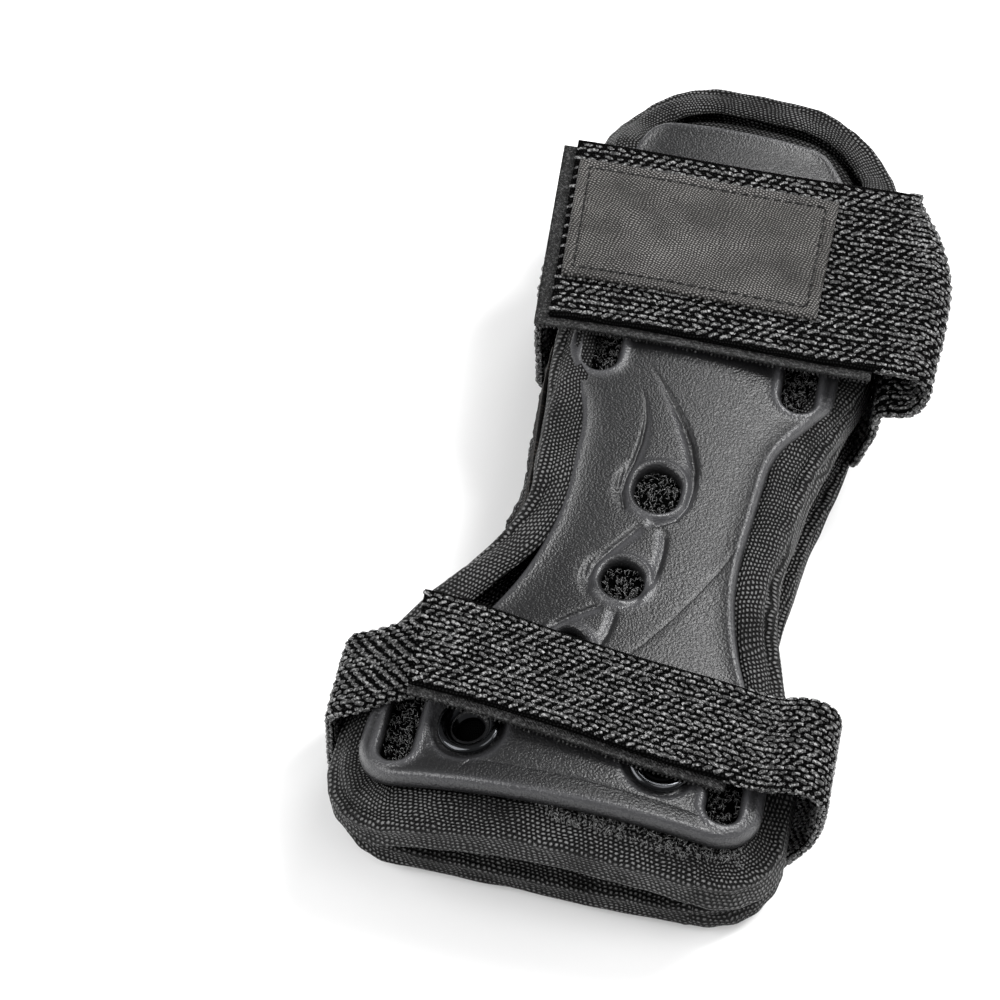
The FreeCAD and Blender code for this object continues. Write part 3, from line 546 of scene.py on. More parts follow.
def make_finishes(settings):
    """Every finish of the guard, by name."""
    FINISH.update({
        # injection-moulded polypropylene, leather-grained: a grey bloom under soft light, and paler rims and
        # bands, partly worn and partly painted highlight
        "plate": moulded("moulded_polypropylene_grained", settings.plate_colour, "#3e3e40", 0.35, 0.44, 0.10),
        # injection-moulded polyethylene, finer grain: the smooth palm runner, a little scuffed
        "palm": moulded("moulded_polyethylene_satin", "#171718", "#28282a", 0.36, 0.4, 0.04),
        # woven polypropylene webbing: dark gaps between fat knuckles, made bright by painted glints
        "webbing": filament("woven_polypropylene_webbing", settings.webbing_glint_colour, "#131313", 0.34, 0.34,
                            Specular_IOR_Level=0.5),
        # the same webbing's ground between the knuckles: near black, without a shine, partly the webbing's
        # own black and partly painted shade between the knuckles
        "web_gap": woven("webbing_ground_weave", "#161616", "#020202", 0.9, (0.7, 0.7),
                         Specular_IOR_Level=0.02),
        # woven nylon hook tape: a tight ribbed selvedge, with painted glints
        "hook": filament("woven_nylon_hook_tape", "#474747", "#080808", 0.45, 0.3, Specular_IOR_Level=0.25),
        # brushed nylon loop pile: tiny curls, thicker than the real ones so that they show, their pale grey
        # partly a painted glint
        "pile": finish("brushed_nylon_loop_pile", "#4a4a4a", 0.25, Specular_IOR_Level=0.9)[0],
        # knitted nylon ground of the loop tape: black behind the curls
        "loop": woven("nylon_loop_ground", "#060606", "#010101", 0.9, (0.5, 0.5), uv=False,
                      Specular_IOR_Level=0.02),
        # polyester satin label, woven on the diagonal: a smooth grey sheen with fine slanting lines
        "satin": woven("woven_polyester_satin", settings.label_colour, "#1c1b1a", 0.5, (0.72, 0.5),
                       turn=0.6, relief=0.12, fibre=0.3, Specular_IOR_Level=0.2),
        # polyester twill binding tape: rows of bright points along the edge
        "binding": woven("woven_polyester_binding", settings.binding_colour, "#040404", 0.5, (1.0, 0.72),
                         shift=0.36, turn=0.12, relief=0.4, Specular_IOR_Level=0.14),
        # warp-knitted polyester over foam: a matt dark grey with small round cells
        "knit": woven("knitted_polyester_cover", "#4c4c4c", "#050505", 0.7, (1.1, 0.9), uv=False,
                      Specular_IOR_Level=0.1),
        # brushed knit lining: soft and matt, with wider cells than the cover's
        "lining": woven("brushed_knit_lining", "#3a3a3b", "#050505", 0.85, (1.5, 1.3), uv=False,
                        Specular_IOR_Level=0.1),
        # elastic polyamide rib of the side: brownish black, a little smoother than the cover
        "stretch": woven("elastic_polyamide_rib", "#37322e", "#060505", 0.62, (0.9, 0.7), relief=0.3,
                         Specular_IOR_Level=0.12),
        # bonded polyester thread: dark, with a thin slanting twist and painted glints
        "thread": filament("bonded_polyester_thread", "#3a3a3a", "#060606", 0.4, 0.3, Specular_IOR_Level=0.2),
        # black nickel plate on brass, tumbled: a dark mirror
        "black_nickel": metal("black_nickel_plated_brass", "#3a3b3d", 0.14),
        # bright nickel plate on brass, tumbled: a pale mirror
        "nickel": metal("bright_nickel_plated_brass", "#c9ccd0", 0.14),
        # zinc-plated pressed steel: a duller grey than the nickel
        "steel": metal("zinc_plated_steel", "#9c9fa3", 0.34),
    })


# ---- Plate ------------------------------------------------------------------------------------
# Courses of the carved crescents and of the grooves beside the vents; a leg also says which side is steep.
OUTER_TAIL = [(-4.6, 23.5), (-0.6, 18.6), (2.9, 13.6), (5.9, 8.8), (8.2, 4.2), (9.9, -1.0), (10.5, -6.0),
              (10.1, -10.6), (8.4, -14.3), (5.0, -16.8)]
INNER_TAIL = [(-4.9, 17.4), (-3.0, 12.8), (-2.0, 8.0), (-1.9, 3.0), (-2.4, -2.0), (-3.2, -6.6),
              (-3.4, -10.4), (-2.2, -14.0)]
LEGS = [([(2.2, -16.8), (0.5, -19.6), (-1.5, -22.6), (-3.4, -25.4), (-5.0, -28.4), (-5.7, -32.0),
          (-4.6, -35.2)], 1),
        ([(6.0, -16.6), (7.2, -19.6), (7.4, -23.0), (7.2, -27.4), (6.4, -31.6), (4.6, -35.4),
          (1.6, -37.6)], -1),
        ([(-1.6, -37.2), (-4.0, -38.8), (-6.8, -40.8), (-9.6, -43.2), (-11.8, -46.4)], 1),
        ([(0.7, -37.4), (1.0, -40.0), (0.6, -43.2), (-0.4, -46.6), (-1.4, -50.0)], -1)]
# thin lines that the mould's seams leave
MOULD_LINES = [[(21.3, -17.8), (18.8, -24.0), (15.4, -31.0), (11.6, -38.0), (7.6, -44.4), (3.0, -50.0)],
               [(-20.2, -77.3), (-18.7, -75.2), (0.0, -75.4), (20.0, -76.3), (26.6, -77.0)]]
LINE_STEP = 0.6


def carve(points, line, taper=0.0):
    """Distance to a carved line, negative on the left of its course, its fading over the first share taper,
    and how far along it the nearest place is."""
    away, along = distance(points, line, False)
    count = len(line) - 1
    k = np.clip((along * count).astype(int), 0, count - 1)
    ahead = (line[1:] - line[:-1])[k]
    off = points - line[k]
    side = np.sign(ahead[:, 1] * off[:, 0] - ahead[:, 0] * off[:, 1])
    return away * side, smooth(along, 0.0, taper) if taper else np.ones(len(points)), along


def plate_relief(points, shape):
    """Height of the plate's surface above its even arch, and how much paler it is, from wear and painted
    highlight, at each point.
    """
    edge = signed(points, shape)
    # a rolled rim, its broader foot, and the rounding of its outer corner
    rise = 0.55 * bump(edge, 1.2, 0.75) + 0.25 * bump(edge, 2.4, 1.4)
    rise -= 1.25 * np.clip(1 - edge / 0.75, 0, 1) ** 2
    # the hand end curls up into a broader lip
    curl = smooth(-points[:, 1], 70.0, 80.0)
    rise += 0.7 * curl * bump(edge, 3.0, 2.6)
    # the rolled rim is paler: wear and painted highlight
    wear_and_highlight = 0.9 * bump(edge, 0.8, 0.8)
    # a lip round each slot
    for x, low, high, radius in WRIST_SLOTS + HAND_SLOTS:
        away = -signed(points, stadium(x, low, high, radius))
        rise += 0.55 * bump(away, 1.1, 0.7) - 0.7 * np.clip(1 - away / 0.6, 0, 1) ** 2
        # paler round each slot's lip: wear and painted highlight
        wear_and_highlight = np.maximum(wear_and_highlight, bump(away, 1.2, 0.9))
    # a lip round each vent, paler from wear and painted highlight, with the painted highlight strongest at
    # its lower right, and a groove beside its left
    for x, y, radius, stretch in VENTS:
        away = -signed(points, stadium(x, y - radius - stretch, y + radius + stretch, radius))
        rise += 0.6 * bump(away, 1.15, 0.6) - 0.8 * np.clip(1 - away / 0.6, 0, 1) ** 2
        highlight_lower_right = smooth(points[:, 0] - x - (points[:, 1] - y) * 0.6, -5.0, 6.0)
        wear_and_highlight = np.maximum(wear_and_highlight, bump(away, 1.6, 1.1) * (0.45 + 0.55 * highlight_lower_right))
        left = smooth(x - points[:, 0], 2.0, 6.0) * bump(points[:, 1], y, radius)
        rise -= 0.75 * left * bump(away, 3.3, 0.7)
    # a flat seat under each eyelet
    for x, y in BACK_EYELETS:
        away = np.hypot(points[:, 0] - x, points[:, 1] - y)
        rise = rise * smooth(away, 6.0, 7.4) - 0.9 * (1 - smooth(away, 6.9, 7.6))
        # a paler ring at the seat's edge: wear and painted highlight
        wear_and_highlight = np.maximum(wear_and_highlight, 0.6 * bump(away, 7.4, 0.6))
    # crescents: steep on one side of their course, and a long slope on the other
    for line, width, depth, hand in ((OUTER_TAIL, 0.95, 1.15, 1), (INNER_TAIL, 0.6, 1.0, -1)):
        course = even(line, LINE_STEP, False)
        side, fade, _ = carve(points, course, 0.5)
        wide = width * (0.3 + 0.7 * fade)
        steep, gentle = bump(side, 0, 0.45 * wide), bump(side, 0, 1.35 * wide)
        rise -= depth * fade * np.where(side * hand < 0, steep, gentle)
        # the long slope is paler: painted highlight
        wear_and_highlight = np.maximum(wear_and_highlight, 0.85 * fade * bump(side * hand, 1.6 * wide, 0.8 * wide))
    for line, hand in LEGS:
        side, _, along = carve(points, even(line, LINE_STEP, False))
        open_end = smooth(along, 0.02, 0.12) * (1 - smooth(along, 0.85, 1.0))
        rise -= 0.8 * open_end * np.where(side * hand > 0, bump(side, 0, 0.42), bump(side, 0, 1.0))
        # the gentle side of each leg is paler: painted highlight
        wear_and_highlight = np.maximum(wear_and_highlight, open_end * bump(side * hand, -0.9, 0.8))
    for line in MOULD_LINES:
        away, _ = distance(points, even(line, LINE_STEP, False), False)
        rise -= 0.16 * bump(away, 0, 0.2)
    return rise, wear_and_highlight


def rings(line_at, offsets):
    """Points on several offsets of one outline."""
    return [line_at(offset) for offset in offsets]


def make_plate():
    """The moulded shield over the back of the hand and wrist."""
    shape = outline(PLATE_CORNERS, 0, 0.8)
    loops = [shape]
    # points gather where the surface bends: along the rim, round every opening and beside the carving
    extra = rings(lambda g: outline(PLATE_CORNERS, -g, 0.9), (0.25, 0.55, 0.9, 1.3, 1.8, 2.5, 3.4, 4.6))
    for x, low, high, radius in WRIST_SLOTS + HAND_SLOTS:
        loops.append(stadium(x, low, high, radius)[::-1])
        extra += rings(lambda g: stadium(x, low, high, radius, g, 0.8), (0.2, 0.45, 0.8, 1.2, 1.7, 2.3))
    for x, y, radius, stretch in VENTS:
        ends = (y - radius - stretch, y + radius + stretch)
        loops.append(stadium(x, *ends, radius, 0, 0.5)[::-1])
        extra += rings(lambda g: stadium(x, *ends, radius, g, 0.55),
                       (0.2, 0.45, 0.8, 1.2, 1.7, 2.3, 3.0, 3.6, 4.2))
    hole = 3.2
    for x, y in BACK_EYELETS:
        loops.append(stadium(x, y - hole, y + hole, hole, 0, 0.8)[::-1])
        extra += rings(lambda g: stadium(x, y - hole, y + hole, hole, g, 0.8), (1.5, 3.0, 3.6, 3.9, 4.2, 4.6))
    for line in [OUTER_TAIL, INNER_TAIL] + [leg for leg, _ in LEGS] + MOULD_LINES:
        course = even(line, 0.5, False)
        ahead = np.gradient(course, axis=0)
        ahead /= np.linalg.norm(ahead, axis=1)[:, None]
        across = np.stack([ahead[:, 1], -ahead[:, 0]], -1)
        offsets = (-1.4, -0.9, -0.5, -0.2, 0, 0.25, 0.6, 1.1, 1.7, 2.4)
        if any(line is thin for thin in MOULD_LINES):
            offsets = (-0.4, -0.2, 0, 0.2, 0.4)
        extra += [course + across * k for k in offsets]
    extra.append(lattice(shape, 1.9))
    spots = np.vstack(extra)
    # no point closer than 0.12 to an edge, and one in each 0.17 square
    keep = signed(spots, shape) > 0.12
    for opening in loops[1:]:
        keep &= signed(spots, opening[::-1]) < -0.12
    spots = spots[keep]
    spots = spots[np.unique(np.round(spots / 0.17).astype(int), axis=0, return_index=True)[1]]
    flat, faces = fill(loops, spots)
    rise, wear_and_highlight = plate_relief(flat, shape)
    top = arch(flat[:, 0], PLATE_TOP + rise)
    nearest = np.abs(signed(flat, shape))
    low = arch(flat[:, 0], PLATE_LOW + 0.6 * np.clip(1 - nearest / 0.7, 0, 1) ** 2)
    obj = slab("plate_shell", flat, faces, top, low, FINISH["plate"])
    # paler where worn and where a highlight is painted, a third as much on the underside
    layer = obj.data.attributes.new("wear_and_highlight", "FLOAT", "POINT")
    layer.data.foreach_set("value", np.r_[wear_and_highlight, wear_and_highlight * 0.3].astype(np.float32))
    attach(obj, "back_side")
    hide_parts("back_plate")


# ---- Eyelets ----------------------------------------------------------------------------------
# a rolled lip from its outer edge over the crown and down the bore: radius and height
EYELET_SHAPE = [(6.15, -0.1), (6.2, 0.35), (6.05, 0.75), (5.7, 1.05), (5.2, 1.15), (4.7, 1.0),
                (4.2, 0.55), (3.8, -0.1), (3.5, -0.9), (3.2, -1.8), (2.7, -2.6), (2.45, -3.4)]


def revolve(name, places, profile, material, stand):
    """A turned ring on each place. stand gives the world point for a local one."""
    turns = np.linspace(0, 2 * math.pi, 56, endpoint=False)
    points, faces, count = [], [], 0
    for place in places:
        for angle in turns:
            for r, h in profile:
                points.append(stand(place, r * math.cos(angle), r * math.sin(angle), h))
        m = len(profile)
        for k in range(len(turns)):
            for j in range(m):
                a, b = count + k * m, count + ((k + 1) % len(turns)) * m
                faces.append((a + j, b + j, b + (j + 1) % m, a + (j + 1) % m))
        count += len(turns) * m
    return face_out(piece(name, points, faces, material))


def stand_on_arch(level):
    """Places a local point square to the arch, with h = 0 at level."""
    def stand(place, px, py, h):
        tilt = math.asin(place[0] / ARCH_RADIUS)
        reach = level + h - ARCH_Z
        return (px * math.cos(tilt) + reach * math.sin(tilt), place[1] + py,
                ARCH_Z - px * math.sin(tilt) + reach * math.cos(tilt))
    return stand


def make_eyelets():
    """Rolled eyelets of the back plate and of the palm, and the finishes of the washers and palm plate."""
    tube_low = PAD_LOW + 0.3 - PLATE_TOP
    profile = EYELET_SHAPE + [(2.4, tube_low), (3.1, tube_low), (3.1, -0.6), (5.4, -0.35)]
    for name, places in (("hand_end_eyelets", BACK_EYELETS[:2]), ("wrist_end_eyelets", BACK_EYELETS[2:])):
        obj = revolve(name + "_rolled", places, profile, FINISH["black_nickel"],
                      stand_on_arch(PLATE_TOP - 0.5))
        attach(obj, "back_side")
        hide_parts(name)
    foot = 1.1 - PALM_PAD_TOP
    profile = [(r, h * 0.75 - 0.9) for r, h in EYELET_SHAPE]
    profile += [(2.4, foot), (3.1, foot), (3.1, -1.5), (5.4, -1.3)]
    obj = revolve("palm_eyelets_rolled", PALM_EYELETS, profile, FINISH["nickel"],
                  lambda place, px, py, h: (place[0] + px, place[1] + py, PALM_PAD_TOP + h))
    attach(obj, "palm_side")
    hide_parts("palm_eyelets")
    for name, kind in (("hand_end_washers", "steel"), ("wrist_end_washers", "steel"),
                       ("palm_eyelet_washers", "steel"), ("palm_plate", "palm")):
        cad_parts[name].data.materials.clear()
        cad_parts[name].data.materials.append(FINISH[kind])


# ---- Pads, bindings and linings ---------------------------------------------------------------
def swell(obj, cap):
    """Foam pressing its cover out: a short cloth run under pressure that moves no point further than cap."""
    remesh = obj.modifiers.new("Remesh", "REMESH")
    remesh.mode, remesh.voxel_size = "VOXEL", 4 * MM
    apply_modifiers(obj)
    start = np.array([v.co[:] for v in obj.data.vertices])
    cloth = obj.modifiers.new("Cloth", "CLOTH")
    cloth.settings.quality = 5
    cloth.settings.mass = 0.3
    cloth.settings.use_pressure = True
    cloth.settings.uniform_pressure_force = 4.0
    cloth.settings.effector_weights.gravity = 0.0
    last = 20
    cloth.point_cache.frame_start, cloth.point_cache.frame_end = 1, last
    for step in range(1, last + 1):
        bpy.context.scene.frame_set(step)
    apply_modifiers(obj)
    bpy.context.scene.frame_set(1)
    points = np.array([v.co[:] for v in obj.data.vertices])
    moved = points - start
    length = np.linalg.norm(moved, axis=1)[:, None]
    points = start + moved * np.minimum(1.0, cap * MM / np.maximum(length, 1e-9))
    obj.data.vertices.foreach_set("co", points.astype(np.float32).ravel())
    return obj


def make_pad(name, corners, low, high, material, arched, press):
    """A crowned foam pad in its cover. press gives the highest level at each flat point."""
    inset = 5.6
    shape = outline(corners, -inset, 2.0)
    extra = [outline(corners, -inset - g, 2.2) for g in (0.8, 2.0, 3.6, 5.6, 8.0)]
    flat, faces = fill([shape], np.vstack(extra + [lattice(outline(corners, -14.5, 2.0), 3.4)]))
    edge = signed(flat, shape)
    swelling = 0.5 + 0.5 * np.sqrt(np.clip(edge / 9.0, 0, 1))
    middle, half = (low + high) / 2, (high - low) / 2 - 0.2
    obj = slab(name, flat, faces, middle + half * swelling, middle - half * swelling, material)
    swell(obj, 6.0)
    points = np.array([v.co[:] for v in obj.data.vertices]) / MM
    ceiling = press(points[:, :2])
    points[:, 2] = np.clip(points[:, 2], low + 0.05, ceiling)
    # what swelled past the binding's middle goes back inside
    away = signed(points[:, :2], outline(corners, 1.0 - inset, 2.0))
    spill = np.minimum(away, 0)[:, None]
    centre = np.array([0.0, 10.0])
    inward = centre - points[:, :2]
    inward /= np.linalg.norm(inward, axis=1)[:, None]
    points[:, :2] -= inward * spill
    if arched:
        points[:, 2] = arch(points[:, 0], points[:, 2])
    obj.data.vertices.foreach_set("co", (points * MM).astype(np.float32).ravel())
    divide = obj.modifiers.new("Subdivision", "SUBSURF")
    divide.levels = divide.render_levels = 1
    apply_modifiers(obj)
    obj.data.shade_smooth()
    return obj


def make_pads():
    """Foam pads of the back and of the palm."""
    plate = outline(PLATE_CORNERS, 0.5, 2.0)

    def under_plate(points):
        return TAPE_LOW + 1.2 * smooth(-signed(points, plate), 0.0, 5.0)

    obj = make_pad("back_pad_foam", BACK_CORNERS, PAD_LOW, TAPE_LOW, FINISH["knit"], True, under_plate)
    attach(obj, "back_side")
    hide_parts("back_pad")
    obj = make_pad("palm_pad_foam", PALM_CORNERS, PALM_PAD_LOW, PALM_PAD_TOP, FINISH["knit"], False,
                   lambda points: np.full(len(points), PALM_PAD_TOP - 0.05))
    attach(obj, "palm_side")
    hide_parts("palm_pad")


def binding(name, corners, low, high, arched, lift, seed):
    """Twill tape folded round a pad's edge: a swept C that ripples, and pleats where it is gathered.

    lift gives how far the upper lip rises at each point of the outline, and seed sets the ripples.
    """
    line = outline(corners, 0, 0.9)
    out = outward(line)
    travel = lengths(line)
    at = travel[:-1]
    middle, half = (low + high) / 2, (high - low) / 2
    # section from the lower lip round the outside to the upper lip, then back inside the pad
    angles = np.linspace(-0.5 * math.pi, 0.5 * math.pi, 34)
    outer = np.c_[-4.2 + 4.5 * np.cos(angles) ** 0.62,
                  half * np.sign(np.sin(angles)) * np.abs(np.sin(angles)) ** 0.72]
    outer = np.vstack([[-8.6, -half * 0.92], [-6.6, -half * 1.02], outer,
                       [-6.6, half * 1.02], [-8.6, half * 0.92]])
    inner = outer[::-1] * [1.0, 0.72] + [-1.0, 0]
    section = np.vstack([outer, inner[1:-1]])
    spots = np.zeros((len(line), len(section), 3))
    turn = smooth(np.linalg.norm(np.roll(out, -3, 0) - np.roll(out, 3, 0), axis=1), 0.02, 0.35)
    waist = smooth(line[:, 1], -52, -34) * (1 - smooth(line[:, 1], 34, 60))
    gathered = waist * np.where(line[:, 0] > 0, 1.0, 0.7)
    # folds run round the section, and t is the share of its outer side passed
    folds, pleat_run, pleat_depth = 3.2, 46.0, 1.9
    for k, (offset, rise) in enumerate(section):
        t, fold = 0.0, np.zeros(len(line))
        if k < len(outer):
            t = k / (len(outer) - 1)
            ripple = 2 * math.pi * (folds * t) + 2.0 * waver(at, seed, 3, 190.0)
            fold = (0.36 + 0.3 * turn) * np.sin(ripple)
            pleat = np.abs(np.sin(math.pi * (folds * t + at / pleat_run))) ** 0.8
            fold += pleat_depth * gathered * (pleat - 0.7) * math.sin(math.pi * t) ** 0.5
            fold += 0.2 * waver(at + 40 * t, seed + 1, 6, 46.0)
            fold += 0.10 * turn * np.sin(at * 1.3 + 7 * t) * math.sin(math.pi * t)
        up = lift(line) * (0.35 + 0.65 * max(rise / half, -0.5)) if rise > -half * 0.5 else 0.0
        sideways = 0.3 * waver(at, seed + 2, 4, 110.0) * (offset > -6)
        way = offset + fold * math.cos(math.pi * (t - 0.5)) + sideways
        level = middle + rise + up + fold * math.sin(math.pi * (t - 0.5))
        where = line + out * way[:, None]
        spots[:, k, :2] = where
        spots[:, k, 2] = arch(where[:, 0], level) if arched else level
    return grid(name, spots, FINISH["binding"], (True, True), travel, lengths(section))


def make_bindings():
    """Binding tape round both pads; the back one's upper lip stands up at its sides."""
    def lift_back(line):
        x, y = line[:, 0], line[:, 1]
        left = smooth(-x, 5, 14) * smooth(y, -62, -36) * (1 - smooth(y, 84, 100))
        right = smooth(x, 10, 20) * smooth(y, -66, -44) * (1 - smooth(y, 84, 100))
        return 4.6 * left + 3.0 * right + 0.8

    obj = binding("back_binding_tape", BACK_CORNERS, 25.6, 34.2, True, lift_back, 5)
    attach(obj, "back_side")
    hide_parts("back_pad_binding")
    obj = binding("palm_binding_tape", PALM_CORNERS, 2.4, 9.9, False, lambda line: 0.0 * line[:, 0], 21)
    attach(obj, "palm_side")
    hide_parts("palm_pad_binding")


def make_linings():
    """Linings towards the hand, the loop tape under the plate, and its pile where it shows."""
    for name, node, corners, low, high, body in (
            ("back_lining_knit", "back_lining", BACK_CORNERS, LINING_LOW, PAD_LOW, "back_side"),
            ("palm_lining_knit", "palm_lining", PALM_CORNERS, PALM_PAD_TOP, PALM_LINING_TOP, "palm_side")):
        shape = outline(corners, -6.4, 1.6)
        extra = [outline(corners, -6.4 - g, 1.8) for g in (0.7, 1.6, 3.0, 5.0)]
        flat, faces = fill([shape], np.vstack(extra + [lattice(outline(corners, -12.5, 2.0), 2.6)]))
        edge = signed(flat, shape)
        pucker = 0.25 * waver(flat[:, 0] * 2 + flat[:, 1], 3, 6, 46.0) * smooth(edge, 0, 6)
        inset = 0.5 * (1 - smooth(edge, 0, 2.5))
        # the puckered face is the one towards the hand
        if body == "back_side":
            top = arch(flat[:, 0], high - 0.1)
            bottom = arch(flat[:, 0], low + inset + np.abs(pucker))
        else:
            top = high - inset - np.abs(pucker)
            bottom = np.full(len(flat), low + 0.05)
        obj = slab(name, flat, faces, top, bottom, FINISH["lining"])
        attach(obj, body)
        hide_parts(node)
    shape = outline(PLATE_CORNERS, -1.6, 1.2)
    flat, faces = fill([shape], lattice(outline(PLATE_CORNERS, -2.4, 2.0), 3.0))
    obj = slab("loop_tape_ground", flat, faces, arch(flat[:, 0], PLATE_LOW - 0.1), arch(flat[:, 0], TAPE_LOW),
               FINISH["loop"])
    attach(obj, "back_side")
    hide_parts("back_loop_tape")
    # the pile is made where an opening or the gap at the hand end shows it; a window is the ends of its box
    # in x and y, its outline and its curls for each square mm
    density = 2.6
    front = np.array([(34, -79), (34, -82.0), (20, -84.6), (-2, -83.2), (-8, -79)])
    rng = np.random.default_rng(11)
    windows = [(x - radius, x + radius, low, high, stadium(x, low, high, radius, 0.3), density)
               for x, low, high, radius in WRIST_SLOTS + HAND_SLOTS]
    windows += [(x - r - 2, x + r + 2, y - r - 2, y + r + 2, stadium(x, y - r - s, y + r + s, r, 0.5),
                 density) for x, y, r, s in VENTS]
    windows += [(-8, 34, -86, -79, front, 3.0)]
    spots = []
    for x0, x1, y0, y1, line, curls in windows:
        tries = rng.uniform((x0, y0), (x1, y1), (int((x1 - x0) * (y1 - y0) * curls), 2))
        spots.append(tries[inside(tries, line)])
    spots = np.vstack(spots)
    level = PLATE_LOW + rng.uniform(-0.2, 0.9, len(spots))
    level[spots[:, 1] < -79] -= 0.4
    points = np.c_[spots, arch(spots[:, 0], level)]
    lean = 0.45
    out = np.c_[spots[:, 0] / ARCH_RADIUS + rng.normal(0, lean, len(spots)), rng.normal(0, lean, len(spots)),
                np.ones(len(spots))]
    along = rng.normal(0, 1, (len(spots), 3)) * [1, 1, 0.1]
    obj = yarn("loop_tape_pile", points, out, along, FINISH["pile"], 1.0, 0.2, 0.75, variation=0.5,
               sides=4, seed=7)
    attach(obj, "back_side")


# ---- Straps -----------------------------------------------------------------------------------
# Weave of a strap, in mm: pitch along and across, a knuckle's length, width and rise, and how far every
# other row sinks. The broad strap's pitch along is a setting.
WRIST_WEAVE = (1.42, 2.15, 1.16, 0.36, 0.24)
HAND_WEAVE = (2.1, 1.18, 1.8, 1.0, 0.30, 0.06)
# how far a knuckle leans off its strap's course, about, in radians
SLANT = 0.30
# levels above which a strap lies over the plate
WRIST_OVER, HAND_OVER = 38.5, 34
# the broad strap's free end droops round this radius
FLAT_RADIUS = 900.0


def strap_course(start, heading, moves, step=0.8):
    """A strap's line in the XZ plane: points and left-hand normals.

    A move is a run and 0, or a bend's radius and its degrees, to the left when positive.
    """
    point, angle = np.array(start, float), math.radians(heading)
    points, normals = [point.copy()], [np.array([-math.sin(angle), math.cos(angle)])]
    for size, turn in moves:
        bend = math.radians(turn)
        length = abs(size * bend) if turn else size
        count = max(1, int(length / step))
        for _ in range(count):
            middle = angle + bend / count / 2
            chord = 2 * size * math.sin(abs(bend) / count / 2) if turn else length / count
            point = point + np.array([math.cos(middle), math.sin(middle)]) * chord
            angle += bend / count
            points.append(point.copy())
            normals.append(np.array([-math.sin(angle), math.cos(angle)]))
    return np.array(points), np.array(normals)


def degrees_of(x, radius):
    """Degrees of arc that cover x on a circle."""
    return math.degrees(math.asin(x / radius))


def wrist_course():
    """From the seam on the palm pad's edge up, round the loop and over the plate."""
    return strap_course((41.0, 8.4), 76, [
        (9.2, 0), (20.0, 14), (3.0, 0), (3.6, -90), (7.5, 90), (0.6, 0), (5.3, 90), (49.0, 0),
        (FLAT_RADIUS, degrees_of(31.5, FLAT_RADIUS))])


def hand_course():
    """From under the palm pad round its side, over a hump and across the plate."""
    ring, hump, landing = WEBBING_MID - ARCH_Z, 5.5, 31.0
    slope = degrees_of(landing, ring)
    # the valley between the hump and the plate starts at x = 46.4 less the hump's two offsets
    valley = (46.4 - hump - hump / 2 - landing) / (0.5 + math.sin(math.radians(slope)))
    return strap_course((23.7, 1.4), 0, [
        (11.0, 0), (4.6, 68), (13.5, 0), (32.0, 22), (5.6, 0), (hump, 120), (valley, -30 - slope),
        (ring, slope), (34.0, 0)])


def strap_section(width, thick):
    """Points round a flat strap with rounded selvedges: places across, and heights."""
    half, edge = width / 2, thick / 2
    across = np.linspace(-half + edge, half - edge, 15)
    turn = np.linspace(90, -90, 7)[1:-1]
    right = [(half - edge + edge * math.cos(math.radians(a)), edge * math.sin(math.radians(a))) for a in turn]
    top = [(y, edge) for y in across]
    return np.array(top + right + [(y, -edge) for y in across[::-1]] + [(-y, h) for y, h in right[::-1]])


def lay_strap(points, normals, section, y_middle, shift, wave):
    """Points of a strap: its section carried along its course, moved by shift and lifted by wave."""
    spots = np.zeros((len(points), len(section), 3))
    for k, (y, h) in enumerate(section):
        lift = h + wave(points, y)
        dx, dy = shift(points, y)
        spots[:, k, 0] = points[:, 0] + normals[:, 0] * lift + dx
        spots[:, k, 2] = points[:, 1] + normals[:, 1] * lift
        spots[:, k, 1] = y_middle + y + dy
    return spots


def knuckles(points, normals, y_middle, width, shift, wave, size, side):
    """Spots, outward and along directions of the weave's knuckles on one face of a strap.

    side is 1 for the face the normals point out of, whose edges get knuckles too, and -1 for the other.
    """
    pitch_along, pitch_across, _, _, _, sink = size
    travel = lengths(points, False)
    stations = np.arange(pitch_along * 0.35, travel[-1] - pitch_along * 0.2, pitch_along / 2)
    rows = int((width - 1.0) / pitch_across)
    spots, outs, alongs = [], [], []
    for k, s in enumerate(stations):
        place = np.array([np.interp(s, travel, points[:, i]) for i in (0, 1)])
        normal = np.array([np.interp(s, travel, normals[:, i]) for i in (0, 1)])
        normal /= np.linalg.norm(normal)
        here = place[None, :]

        def put(y, lift, out, ahead):
            lift += float(wave(here, y)[0])
            dx, dy = (float(v[0]) for v in shift(here, y))
            spots.append((place[0] + normal[0] * lift + dx, y_middle + y + dy, place[1] + normal[1] * lift))
            outs.append(out)
            alongs.append((normal[1], ahead, -normal[0]))

        for r in range(k % 2, rows, 2):
            tilt = SLANT * (0.8 * math.sin(12.9 * k + 7.3 * r) + (0.6 if k % 2 else -1.0))
            put((r - (rows - 1) / 2) * pitch_across, side * (WEBBING / 2 - 0.25 - sink * (k % 2)),
                (side * normal[0], 0.0, side * normal[1]), math.tan(tilt))
        for edge in (-1, 1) if side > 0 else ():
            put(edge * (width / 2 - 0.2), 0.3 * (-1) ** k, (0.5 * normal[0], edge, 0.5 * normal[1]), 0.0)
    return np.array(spots), np.array(outs), np.array(alongs)


def weave(name, faces, size, seed):
    """The yarn of a strap's knuckles, from the spots and directions of its faces."""
    spots, outs, alongs = (np.vstack(parts) for parts in zip(*faces))
    return yarn(name, spots, outs, alongs, FINISH["webbing"], *size[2:5], flatness=0.75, variation=0.3,
                sides=5, steps=3, seed=seed)


